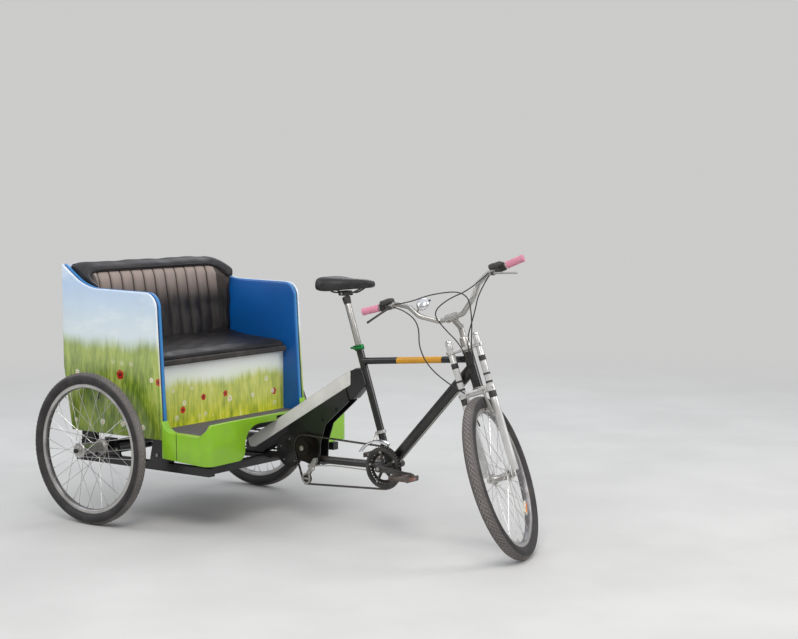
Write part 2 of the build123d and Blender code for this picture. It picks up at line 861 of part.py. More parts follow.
# Fork: two crowns, two telescopic legs and the front axle
leg_boss_radius = 19.0
with BuildPart() as fork_crowns:
    for middle, depth in ((crown_up, crown_depth), (clamp_up, clamp_depth)):
        with BuildSketch(steering.offset(middle - depth / 2)):
            with BuildLine():
                Polyline(
                    (-24, -24),
                    (leg_offset - 14, -leg_spread),
                    (leg_offset + 14, -leg_spread),
                    (26, 0),
                    (leg_offset + 14, leg_spread),
                    (leg_offset - 14, leg_spread),
                    (-24, 24),
                    close=True,
                )
            make_face()
            with Locations((leg_offset, -leg_spread), (leg_offset, leg_spread)):
                Circle(leg_boss_radius)
                Circle(stanchion_radius, mode=Mode.SUBTRACT)
        extrude(amount=depth)
    with BuildSketch(steering.offset(crown_up)):
        Circle(steerer_radius)
    extrude(amount=clamp_up - crown_up)
finish(fork_crowns, "fork_crowns")

dropout_wall = 6.0
dropout_inner = front_hub_half + 2
leg_bottom_up = axle_up + 14
with BuildPart() as fork_legs:
    for side in (-leg_spread, leg_spread):
        with BuildSketch(steering.offset(leg_bottom_up)):
            with Locations((leg_offset, side)):
                Circle(lower_leg_radius)
        extrude(amount=lower_leg_top_up - leg_bottom_up)
        with BuildSketch(steering.offset(lower_leg_top_up)):
            with Locations((leg_offset, side)):
                Circle(stanchion_radius)
        extrude(amount=leg_top_up - lower_leg_top_up)
        inner_face = dropout_inner if side > 0 else -dropout_inner - dropout_wall
        dropout_plane = Plane(origin=on_fork(0, inner_face, 0), x_dir=steer_ahead, z_dir=-steering.y_dir)
        with BuildSketch(dropout_plane):
            with BuildLine():
                Polyline(
                    (leg_offset - 10, leg_bottom_up + 30),
                    (leg_offset + 16, leg_bottom_up + 30),
                    (fork_offset + 14, axle_up),
                    (fork_offset + 8, axle_up - 12),
                    (fork_offset - 8, axle_up - 12),
                    (leg_offset - 10, leg_bottom_up + 2),
                    close=True,
                )
            make_face()
        extrude(amount=-dropout_wall)
    with BuildSketch(Plane(origin=on_fork(fork_offset, -dropout_inner - 12, axle_up), z_dir=front_way)):
        Circle(front_axle_radius)
    extrude(amount=2 * (dropout_inner + 12))
finish(fork_legs, "fork_legs")

# Rim brake arms on the fork
arm_pivot_up = axle_up + 258
arm_tip_up = axle_up + 352
pad_up = axle_up + rim_radius - rim_depth * 0.4
with BuildPart() as front_brake:
    for side in (-1, 1):
        pivot_back = on_fork(leg_offset + 16, side * 45, arm_pivot_up)
        pivot_front = on_fork(leg_offset + 34, side * 45, arm_pivot_up)
        add(rod(pivot_back, pivot_front, 8))
        add(
            rod(
                on_fork(leg_offset + 29, side * 45, arm_pivot_up - 6),
                on_fork(leg_offset + 29, side * 34, arm_tip_up),
                4.5,
            )
        )
        pad_outer = on_fork(leg_offset + 28, side * 46, pad_up)
        add(rod(pad_outer, on_fork(leg_offset + 28, side * 20, pad_up), 6.5))
finish(front_brake, "front_brake")

# Stem and handlebar
stem_block_up = 900.0
with BuildPart() as stem:
    with BuildSketch(steering.offset(clamp_up + clamp_depth / 2)):
        Circle(20)
    extrude(amount=stem_block_up + 18 - clamp_up - clamp_depth / 2)
    with BuildSketch(steering.offset(stem_block_up)):
        Circle(quill_radius)
    extrude(amount=quill_top_up - stem_block_up)
    add(rod(on_fork(-4, 0, quill_top_up - 14), on_fork(bar_ahead, 0, bar_up), 12))
    add(rod(on_fork(bar_ahead, -24, bar_up), on_fork(bar_ahead, 24, bar_up), 17))
    add(rod(on_fork(bar_ahead, -25, bar_up), on_fork(bar_ahead, 25, bar_up), bar_radius), mode=Mode.SUBTRACT)
finish(stem, "stem")

# Half of the handlebar's centre line: (ahead of the axis, out from the middle, up the axis)
bar_route = [
    (bar_ahead, 0.0, bar_up),
    (bar_ahead + 4, 52.0, bar_up),
    (bar_ahead + 32, 118.0, bar_up + 42),
    (bar_ahead + 24, 152.0, bar_up + 92),
    (bar_ahead + 10, 204.0, bar_up + 121),
    (bar_ahead + 8, grip_end, bar_up + 134),
]
bar_bends = [30, 34, 30, 40]
right_half = [on_fork(ahead, -out, up) for ahead, out, up in bar_route]
left_half = [on_fork(ahead, out, up) for ahead, out, up in bar_route]
with BuildPart() as handlebar:
    add(bent_tube(right_half, bar_bends, bar_radius))
    add(bent_tube(left_half, bar_bends, bar_radius))
finish(handlebar, "handlebar")


def along_grip(side, out):
    """Point on the straight end of the handlebar, at a distance out from the middle."""
    inner, outer = (Vector(*bar_route[-2]), Vector(*bar_route[-1]))
    share = (out - inner.Y) / (outer.Y - inner.Y)
    place = inner + (outer - inner) * share
    return on_fork(place.X, side * place.Y, place.Z)


def sleeve(side, start, end, radius):
    """Sleeve round the handlebar's straight end."""
    with BuildPart() as ring:
        first, last = along_grip(side, start), along_grip(side, end)
        with BuildSketch(Plane(origin=first, z_dir=last - first)):
            Circle(radius)
            Circle(bar_radius, mode=Mode.SUBTRACT)
        extrude(amount=(last - first).length)
    return ring.part


with BuildPart() as grips:
    for side in (-1, 1):
        add(sleeve(side, grip_start, grip_end + 0.5, grip_radius))
finish(grips, "grips")

shifter_start, shifter_end = 214.0, 276.0
with BuildPart() as hand_controls:
    for side in (-1, 1):
        add(sleeve(side, shifter_start, shifter_end, 18))
        pivot = along_grip(side, shifter_start + 12) + steer_ahead * 30 - steer_up * 12
        lever_tip = along_grip(side, grip_end - 30) + steer_ahead * 62 - steer_up * 34
        add(rod(along_grip(side, shifter_start + 12) + steer_ahead * 15, pivot, 9))
        add(rod(pivot, lever_tip, 5))
finish(hand_controls, "hand_controls")

bell_radius = 28.0
bell_depth = 20.0
bell_back = on_fork(bar_ahead + 34, -88, bar_up + 78)
bell_way = (steer_ahead * 0.85 + steer_up * 0.53).normalized()
bell_foot = on_fork(bar_ahead + 29, -131, bar_up + 61)
with BuildPart() as bell:
    add(rod(bell_foot, bell_back, 5))
    add(rod(bell_back - bell_way * 4, bell_back + bell_way * 2, 12))
    with BuildSketch(Plane(origin=bell_back + bell_way * 2, z_dir=bell_way)):
        Circle(bell_radius)
    extrude(amount=bell_depth, taper=20)
    add(handlebar.part, mode=Mode.SUBTRACT)
finish(bell, "bell")

# Cables from the hand controls to the front brake and head tube, as (ahead, left, up) in the steering frame
cable_radius = 2.5
cable_bend = 22.0
brake_cable = [
    (122, -212, 1106),
    (146, -165, 1082),
    (156, -112, 1008),
    (140, -152, 905),
    (108, -120, 785),
    (66, -40, 692),
]
right_shift_cable = [
    (107, -206, 1118),
    (150, -140, 1100),
    (166, -20, 1102),
    (156, 118, 1070),
    (118, 92, 960),
    (84, 40, 850),
    (40, 22, 790),
]
left_shift_cable = [
    (107, 206, 1118),
    (146, 130, 1072),
    (136, 20, 1066),
    (120, -60, 1034),
    (102, -36, 962),
    (64, 2, 880),
    (42, 6, 800),
]
rear_brake_cable = [
    (122, 212, 1106),
    (134, 152, 1052),
    (116, 108, 982),
    (76, 22, 880),
    (40, 14, 795),
]
with BuildPart() as bar_cables:
    for route in (brake_cable, right_shift_cable, left_shift_cable, rear_brake_cable):
        add(bent_tube([on_fork(*point) for point in route], [cable_bend] * (len(route) - 2), cable_radius))
finish(bar_cables, "bar_cables")

# Crank set, pedals and middle drive
crank_way = Vector(cos(radians(crank_angle)), 0, sin(radians(crank_angle)))
chainring_face = -chain_line
with BuildPart() as crank_set:
    add(rod(bracket - Vector(0, crank_offset, 0), bracket + Vector(0, crank_offset, 0), spindle_radius))
    with BuildSketch(Plane(origin=bracket + Vector(0, chainring_face + 2, 0), z_dir=Vector(0, -1, 0))):
        Circle(chainring_radius)
        with PolarLocations(chainring_radius * 0.62, 5):
            Circle(chainring_radius * 0.2, mode=Mode.SUBTRACT)
    extrude(amount=4)
    for side, way in ((-1, crank_way), (1, crank_way * -1)):
        add(
            rod(
                bracket + Vector(0, side * (crank_offset - 8), 0),
                bracket + way * crank_length + Vector(0, side * (crank_offset - 2), 0),
                9,
            )
        )
        add(
            rod(
                bracket + Vector(0, side * (bracket_half_width + 4), 0),
                bracket + Vector(0, side * (crank_offset + 4), 0),
                17,
            )
        )
finish(crank_set, "crank_set")

pedal_axle_radius = 6.0
pedal_half_length = 46.0
for name, side, way in (("pedal_right", -1, crank_way), ("pedal_left", 1, crank_way * -1)):
    eye = bracket + way * crank_length
    with BuildPart() as pedal:
        add(
            rod(
                eye + Vector(0, side * (crank_offset + 8), 0),
                eye + Vector(0, side * (crank_offset + 14), 0),
                pedal_axle_radius,
            )
        )
        with BuildSketch(Plane.XY.offset(eye.Z - 11)):
            with Locations((eye.X, side * (crank_offset + 12 + 44))):
                Rectangle(2 * pedal_half_length, 88)
                Rectangle(2 * pedal_half_length - 20, 68, mode=Mode.SUBTRACT)
                Rectangle(18, 88)
        extrude(amount=22)
    finish(pedal, name)

rear_chain_line = 44.0
rear_cog_radius = 30.0
axle_cog_radius = 44.0
with BuildPart() as mid_drive:
    add(
        rod(
            mid_shaft - Vector(0, chain_line + 24, 0),
            mid_shaft + Vector(0, drive_plate_half_gap + drive_plate_wall + 24, 0),
            mid_shaft_radius,
        )
    )
    # Sprockets of the cluster: (distance to the right of the middle, radius)
    for offset, radius in ((34, 66), (42, 59), (50, mid_cog_radius), (58, 44), (66, 36)):
        add(rod(mid_shaft - Vector(0, offset - 1, 0), mid_shaft - Vector(0, offset + 1, 0), radius))
    add(rod(mid_shaft - Vector(0, 32, 0), mid_shaft - Vector(0, 70, 0), 22))
    cog_inner = mid_shaft + Vector(0, rear_chain_line - 2, 0)
    add(rod(cog_inner, cog_inner + Vector(0, 4, 0), rear_cog_radius))
finish(mid_drive, "mid_drive")


# Front chain: a closed loop in straight runs round the chainring, the sprocket and the tension pulley
cage_pulley = at(mid_drive_ahead + 12, 0, mid_drive_height - 133)
pulley_radius = 20.0
chain_corners = 24
chain_gap = 1.0


def convex_ring(points):
    """Corners of the smallest convex outline round a set of points."""
    ring = []
    for ordered in (sorted(points), sorted(points, reverse=True)):
        run = []
        for point in ordered:
            while len(run) > 1 and turn_of(run[-2], run[-1], point) <= 0:
                run.pop()
            run.append(point)
        ring += run[:-1]
    return ring


def turn_of(first, middle, last):
    """Positive where three points turn left."""
    return (middle[0] - first[0]) * (last[1] - first[1]) - (middle[1] - first[1]) * (last[0] - first[0])


def chain_outline(circles, gap):
    """Outline round the circles that a chain runs on, grown by a gap."""
    points = []
    for centre, radius in circles:
        reach = (radius + gap) / cos(pi / chain_corners)
        for index in range(chain_corners):
            turn = 2 * pi * index / chain_corners
            points.append((centre.X + reach * cos(turn), centre.Z + reach * sin(turn)))
    return convex_ring(points)


def chain_loop(circles, left_face):
    """Chain round its circles, from its left face."""
    with BuildPart() as loop:
        with BuildSketch(Plane.XZ.offset(-left_face)):
            with BuildLine():
                Polyline(*chain_outline(circles, chain_gap + chain_pitch_depth), close=True)
            make_face()
            with BuildLine():
                Polyline(*chain_outline(circles, chain_gap), close=True)
            make_face(mode=Mode.SUBTRACT)
        extrude(amount=chain_width)
    return loop.part


front_circles = [(bracket, chainring_radius), (mid_shaft, mid_cog_radius), (cage_pulley, pulley_radius)]
rear_circles = [(mid_shaft, rear_cog_radius), (at(0, 0, tyre_radius), axle_cog_radius)]
with BuildPart() as front_chain:
    add(chain_loop(front_circles, -chain_line + chain_width / 2))
finish(front_chain, "front_chain")
with BuildPart() as rear_chain:
    add(chain_loop(rear_circles, rear_chain_line + chain_width / 2))
finish(rear_chain, "rear_chain")

# Derailleurs: a cage that hangs from the drive plates, and a guide on the seat tube over the chainring
hanger_start = drive_plate_half_gap + drive_plate_wall
cage_wall = 2.0
cage_half_gap = 6.0
band_height = bottom_bracket_height + 140
band_depth = 14.0
# Side outlines of the front guide, from the bottom bracket, and of the cage, from the middle shaft
guide_outline = [
    (20, 84),
    (22, 100),
    (-30, 112),
    (-70, 112),
    (-112, 96),
    (-146, 58),
    (-138, 46),
    (-108, 72),
    (-60, 88),
]
cage_outline = [(0, -141), (24, -141), (60, -77), (50, -63), (32, -69)]
cage_on_frame = [(mid_drive_ahead + ahead, mid_drive_height + above) for ahead, above in cage_outline]
cage_pivot = mid_shaft + Vector(46, 0, -73)
guide_on_frame = [(bottom_bracket_ahead + x, bottom_bracket_height + z) for x, z in guide_outline]
with BuildPart() as derailleurs:
    add(rod(cage_pulley - Vector(0, chain_line - 4, 0), cage_pulley - Vector(0, chain_line + 4, 0), 12))
    add(plate(cage_on_frame, -chain_line - 5, 3))
    add(rod(cage_pivot - Vector(0, hanger_start, 0), cage_pivot - Vector(0, chain_line + 8, 0), 8))
    for left_face in (-chain_line + cage_half_gap + cage_wall, -chain_line - cage_half_gap):
        add(plate(guide_on_frame, left_face, cage_wall))
    bridge = bracket + Vector(-50, -chain_line, 108)
    add(rod(bridge + Vector(0, cage_half_gap, 0), bridge - Vector(0, cage_half_gap, 0), 3))
    band_middle = seat_line(band_height)
    add(rod(band_middle, bridge + Vector(0, cage_half_gap + cage_wall, 0), 5))
    band_foot = band_middle - seat_up * band_depth / 2
    add(rod(band_foot, band_foot + seat_up * band_depth, seat_tube_radius + 5))
    add(seat_tube_bar, mode=Mode.SUBTRACT)
finish(derailleurs, "derailleurs")

# Gear cable held along the down tube, under the bracket and along the boom to the derailleur
cable_side = -12.0
tube_reach = down_tube_radius + cable_radius + 0.5
tube_rise = (tube_reach ** 2 - cable_side ** 2) ** 0.5
frame_cable_route = [
    down_tube_end - down_tube_run * 70 + down_tube_under * tube_rise + Vector(0, cable_side, 0),
    bracket + down_tube_run * 60 + down_tube_under * (tube_rise + 1) + Vector(0, cable_side, 0),
    bracket + down_tube_under * (bracket_radius + 10) + Vector(0, cable_side, 0),
    bracket + Vector(-44, cable_side, -bracket_radius - 7),
    cage_pivot + Vector(84, cable_side, 3),
    cage_pivot + Vector(46, -hanger_start - 12, 1),
    cage_pivot + Vector(9, -hanger_start - 12, 0),
]
with BuildPart() as frame_cable:
    add(bent_tube(frame_cable_route, [30, 20, 30, 16, 16], cable_radius))
finish(frame_cable, "frame_cable")

# Rear drive: differential case on the axle beam, with the sprocket of the rear chain
with BuildPart() as differential:
    add(rod(at(0, rear_chain_line - 10, tyre_radius), at(0, rear_chain_line + 8, tyre_radius), 27))
    axle_cog = at(0, rear_chain_line - 2, tyre_radius)
    add(rod(axle_cog, axle_cog + Vector(0, 4, 0), axle_cog_radius))
    add(rod(at(0, rear_chain_line + 8, tyre_radius), at(0, 114, tyre_radius), 38))
    add(axle_core, mode=Mode.SUBTRACT)
finish(differential, "differential")
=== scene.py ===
"""Dressed model of a cycle rickshaw: its finishes, its detailed pieces, its lights and its camera.

+X points forward, +Y to the vehicle's left and +Z up, in metres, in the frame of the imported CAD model.
"""

import logging
from dataclasses import dataclass, field
from enum import Enum
from math import atan2, cos, exp, hypot, pi, radians, sin, tan
from random import Random

import bmesh
import bpy
from mathutils import Matrix, Quaternion, Vector


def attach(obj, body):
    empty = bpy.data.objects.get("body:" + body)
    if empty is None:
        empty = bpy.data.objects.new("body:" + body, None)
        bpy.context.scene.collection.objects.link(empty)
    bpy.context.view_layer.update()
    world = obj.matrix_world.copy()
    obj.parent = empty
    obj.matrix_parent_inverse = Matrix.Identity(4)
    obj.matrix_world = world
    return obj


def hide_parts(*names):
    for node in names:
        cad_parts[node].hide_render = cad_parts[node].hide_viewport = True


log = logging.getLogger("rickshaw")
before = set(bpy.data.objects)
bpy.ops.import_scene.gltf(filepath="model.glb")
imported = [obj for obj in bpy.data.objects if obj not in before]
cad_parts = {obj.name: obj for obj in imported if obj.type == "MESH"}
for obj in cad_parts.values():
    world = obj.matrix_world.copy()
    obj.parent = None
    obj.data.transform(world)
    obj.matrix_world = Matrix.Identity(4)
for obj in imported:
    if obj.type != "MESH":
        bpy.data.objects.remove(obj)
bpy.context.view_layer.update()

Point = tuple[float, float, float]
Pair = tuple[float, float]
Colour = tuple[float, float, float, float]


class Side(Enum):
    """The two sides of the vehicle, each with its sign along Y."""

    RIGHT = -1
    LEFT = 1


# Shared places and settings

REAR_AXLE_X = -0.8097
WHEEL_RADIUS = 0.334
HALF_TRACK = 0.554
HEAD_ANGLE = radians(70.5)
SEAT_ANGLE = radians(72)
PARK_TURN = radians(-73.8)
STEER_GROUND = 1.898
HUB_AHEAD = 0.042
HUB_UP = 0.3334
BAR_BORE = 0.0111
SEAT_BORE = 0.0161
SHARP_ANGLE = radians(35)
CLOTH_PRESSURE = 3.0
CLOTH_FRAMES = 20

AHEAD, LEFT, UP = Vector((1, 0, 0)), Vector((0, 1, 0)), Vector((0, 0, 1))


def at(ahead: float, side: float, height: float) -> Vector:
    """Point by its distance ahead of the rear axle."""
    return Vector((REAR_AXLE_X + ahead, side, height))


def axes(origin: Vector, x_way: Vector, z_way: Vector) -> Matrix:
    """Place whose local X and Z point the given ways.

    Args:
        origin: where the local origin lies.
        x_way: direction near local X.
        z_way: direction of local Z.

    Returns:
        The matrix from local to vehicle coordinates.
    """
    z_axis = z_way.normalized()
    y_axis = z_axis.cross(x_way).normalized()
    x_axis = y_axis.cross(z_axis)
    turn = Matrix((x_axis, y_axis, z_axis)).transposed().to_4x4()
    return Matrix.Translation(origin) @ turn


def upright(side: float) -> Matrix:
    """Place at a distance to the left whose local X is ahead and local Y is up, from the rear axle's X."""
    return axes(at(0, side, 0), AHEAD, -LEFT)


def level(height: float) -> Matrix:
    """Place at a height whose local X is ahead and local Z is up, from the rear axle's X."""
    return axes(at(0, 0, height), AHEAD, UP)


STEER_UP = Vector((-cos(HEAD_ANGLE), 0, sin(HEAD_ANGLE)))
STEER_AHEAD = Quaternion(STEER_UP, PARK_TURN) @ Vector((sin(HEAD_ANGLE), 0, cos(HEAD_ANGLE)))
STEERING = axes(at(STEER_GROUND, 0, 0), STEER_AHEAD, STEER_UP)
STEER_LEFT = STEER_UP.cross(STEER_AHEAD)
BRACKET = at(1.222, 0, 0.3)
SEAT_WAY = Vector((-cos(SEAT_ANGLE), 0, sin(SEAT_ANGLE)))


def on_fork(ahead: float, left: float, up: float) -> Vector:
    """Point in the turned steering frame."""
    return STEERING @ Vector((ahead, left, up))


def on_seat_tube(height: float) -> Vector:
    """Point on the seat tube's line at a height above the ground."""
    return BRACKET + SEAT_WAY * ((height - BRACKET.z) / SEAT_WAY.z)


def rgb(red: int, green: int, blue: int) -> Colour:
    """Linear colour of an sRGB one.

    Args:
        red: red channel, 0 to 255.
        green: green channel.
        blue: blue channel.

    Returns:
        The colour as a shader takes it.
    """
    def linear(channel: int) -> float:
        value = channel / 255
        return value / 12.92 if value <= 0.04045 else ((value + 0.055) / 1.055) ** 2.4

    return linear(red), linear(green), linear(blue), 1.0


class Wire:
    """A shader socket that takes part in Python expressions."""

    def __init__(self, graph: "Graph", socket: bpy.types.NodeSocket) -> None:
        """Hold a socket and the graph it belongs to."""
        self.graph = graph
        self.socket = socket

    def _math(self, operation: str, *values: "Wire | float") -> "Wire":
        """Math node on some values."""
        return self.graph.add("ShaderNodeMath", dict(enumerate(values)), operation=operation)

    def __add__(self, other: "Wire | float") -> "Wire":
        """Sum."""
        return self._math("ADD", self, other)

    def __sub__(self, other: "Wire | float") -> "Wire":
        """Difference."""
        return self._math("SUBTRACT", self, other)

    def __rsub__(self, other: float) -> "Wire":
        """Difference from a number."""
        return self._math("SUBTRACT", other, self)

    def __mul__(self, other: "Wire | float") -> "Wire":
        """Product."""
        return self._math("MULTIPLY", self, other)

    def __truediv__(self, other: "Wire | float") -> "Wire":
        """Quotient."""
        return self._math("DIVIDE", self, other)

    def __gt__(self, other: "Wire | float") -> "Wire":
        """One where this is the greater."""
        return self._math("GREATER_THAN", self, other)

    def __lt__(self, other: "Wire | float") -> "Wire":
        """One where this is the lesser."""
        return self._math("LESS_THAN", self, other)

    __radd__ = __add__
    __rmul__ = __mul__

    def wave(self) -> "Wire":
        """Cosine."""
        return self._math("COSINE", self)

    def size(self) -> "Wire":
        """Absolute value."""
        return self._math("ABSOLUTE", self)

    def root(self) -> "Wire":
        """Square root."""
        return self._math("SQRT", self)

    def step(self, low: float, high: float) -> "Wire":
        """Smooth rise from 0 at low to 1 at high."""
        values = {"Value": self, "From Min": low, "From Max": high}
        return self.graph.add("ShaderNodeMapRange", values, interpolation_type="SMOOTHSTEP")


class Graph:
    """A material and the nodes that make it."""

    def __init__(self, name: str) -> None:
        """Start an empty material."""
        self.material = bpy.data.materials.new(name)
        self.material.use_nodes = True
        self.tree = self.material.node_tree
        self.tree.nodes.clear()

    def add(
        self, kind: str, values: dict | None = None, output: int | str = 0, stops: list | None = None,
        **settings,
    ) -> Wire:
        """One node.

        Args:
            kind: node type.
            values: socket name or number to a value or a wire.
            output: the output wanted.
            stops: a colour ramp's stops, as (position, colour) pairs.
            **settings: node attributes, set first.

        Returns:
            The chosen output.
        """
        node = self.tree.nodes.new(kind)
        for key, value in settings.items():
            setattr(node, key, value)
        if stops:
            ramp = node.color_ramp
            while len(ramp.elements) < len(stops):
                ramp.elements.new(1.0)
            for element, (position, colour) in zip(ramp.elements, stops):
                element.position = position
                element.color = colour
        for key, value in (values or {}).items():
            if isinstance(value, Wire):
                self.tree.links.new(value.socket, node.inputs[key])
            else:
                node.inputs[key].default_value = value
        return Wire(self, node.outputs[output])

    def place(self, scale: Point = (1, 1, 1)) -> Wire:
        """Object coordinates, stretched."""
        spot = self.add("ShaderNodeTexCoord", output="Object")
        return self.add("ShaderNodeMapping", {"Vector": spot, "Scale": scale})

    def split(self, vector: Wire) -> tuple[Wire, Wire, Wire]:
        """The three parts of a vector."""
        first = self.add("ShaderNodeSeparateXYZ", {"Vector": vector})
        outputs = first.socket.node.outputs
        return first, Wire(self, outputs[1]), Wire(self, outputs[2])

    def join(self, x: "Wire | float", y: "Wire | float", z: "Wire | float" = 0.0) -> Wire:
        """Vector of three parts."""
        return self.add("ShaderNodeCombineXYZ", {0: x, 1: y, 2: z})

    def noise(self, spot: Wire, scale: float, detail: float = 3.0, rough: float = 0.55) -> Wire:
        """Fractal noise, about 0.3 to 0.7."""
        values = {"Vector": spot, "Scale": scale, "Detail": detail, "Roughness": rough}
        return self.add("ShaderNodeTexNoise", values)

    def mix(self, share: "Wire | float", first: "Wire | Colour", second: "Wire | Colour") -> Wire:
        """Blend of two colours."""
        return self.add("ShaderNodeMix", {0: share, 6: first, 7: second}, output=2, data_type="RGBA")

    def ramp(self, value: Wire, stops: list[tuple[float, Colour]]) -> Wire:
        """Colour by a value."""
        return self.add("ShaderNodeValToRGB", {"Fac": value}, stops=stops)

    def bump(self, height: Wire, distance: float, strength: float = 1.0) -> Wire:
        """Surface relief of a height map, in metres at a height of one."""
        return self.add("ShaderNodeBump", {"Height": height, "Distance": distance, "Strength": strength})

    def finish(self, **values: "Wire | float | Colour") -> bpy.types.Material:
        """Close the material with a shader.

        Args:
            **values: socket names in lower case with underscores, and what they take.

        Returns:
            The material.
        """
        named = {}
        for key, value in values.items():
            words = key.replace("_", " ").title().replace("Ior", "IOR")
            named[words] = value
        shader = self.add("ShaderNodeBsdfPrincipled", named)
        output = self.tree.nodes.new("ShaderNodeOutputMaterial")
        self.tree.links.new(shader.socket, output.inputs["Surface"])
        return self.material


@dataclass(frozen=True)
class GlossPaint:
    """Sprayed or moulded gloss: faint waves, fine scuffs, and dust on upward faces whose colour, where pale,
    is also a painted highlight.
    """

    colour: Colour
    dust: Colour = rgb(150, 145, 138)
    roughness: float = 0.22
    dusting: float = 0.25
    coat: float = 0.35
    metallic: float = 0.0
    speckle: float = 0.4
    ripple: float = 0.5
    band: Colour | None = None
    band_from: float = 0.0
    band_to: float = 0.0

    def make(self, name: str) -> bpy.types.Material:
        """Build the material under a name."""
        graph = Graph(name)
        spot = graph.place()
        x, _, _ = graph.split(spot)
        cloud = graph.noise(spot, 9.0, 4.0)
        speck = graph.noise(spot, 160.0, 2.0)
        facing = graph.split(graph.add("ShaderNodeNewGeometry", output="Normal"))[2]
        # Upward faces take more of the dust colour: dust that rests there, and where that colour is pale, a
        # painted highlight.
        upward_dust_and_sheen = facing.step(0.2, 1.0) * 0.6 + 0.25
        mottle = cloud * (1 - self.speckle) + speck * self.speckle
        dust_and_sheen_share = mottle.step(0.42, 0.72) * upward_dust_and_sheen * self.dusting
        base = self.colour
        if self.band:
            wander = speck * 0.002 - 0.001
            inside = (x + wander > self.band_from) * (x + wander < self.band_to)
            base = graph.mix(inside, self.colour, self.band)
        shade = graph.mix(cloud.step(0.3, 0.7) * 0.16, base, rgb(20, 20, 20))
        relief = graph.noise(spot, 55.0, 2.0) * 0.7 + graph.noise(spot, 420.0, 1.0) * 0.3
        return graph.finish(
            base_color=graph.mix(dust_and_sheen_share, shade, self.dust),
            metallic=self.metallic,
            roughness=dust_and_sheen_share * 0.9 + (self.roughness + speck * 0.06),
            coat_weight=self.coat,
            coat_roughness=0.12,
            normal=graph.bump(relief, 0.0006, self.ripple),
        )


@dataclass(frozen=True)
class Laminate:
    """Smooth moulded sheet whose rounded edges are painted paler as a highlight."""

    colour: Colour
    # colour of the painted highlight on the rounded edges
    edge: Colour
    roughness: float = 0.4

    def make(self, name: str) -> bpy.types.Material:
        """Build the material under a name."""
        graph = Graph(name)
        spot = graph.place()
        across = graph.split(graph.add("ShaderNodeNewGeometry", output="Normal"))[1].size()
        cloud = graph.noise(spot, 4.0, 4.0)
        scuff = graph.noise(graph.place((3.0, 3.0, 40.0)), 6.0, 5.0).step(0.58, 0.75)
        base = graph.mix(cloud.step(0.35, 0.7) * 0.25, self.colour, rgb(5, 50, 95))
        # Painted highlight: faces that turn away from the sheet's plane blend towards the edge colour.
        with_edge_highlight = graph.mix((1 - across).step(0.15, 0.9) * 0.6, base, self.edge)
        relief = graph.noise(spot, 70.0, 2.0)
        return graph.finish(
            base_color=graph.mix(scuff * 0.08, with_edge_highlight, rgb(150, 170, 190)),
            roughness=scuff * 0.15 + self.roughness,
            coat_weight=0.2,
            coat_roughness=0.2,
            normal=graph.bump(relief, 0.0005, 0.4),
        )


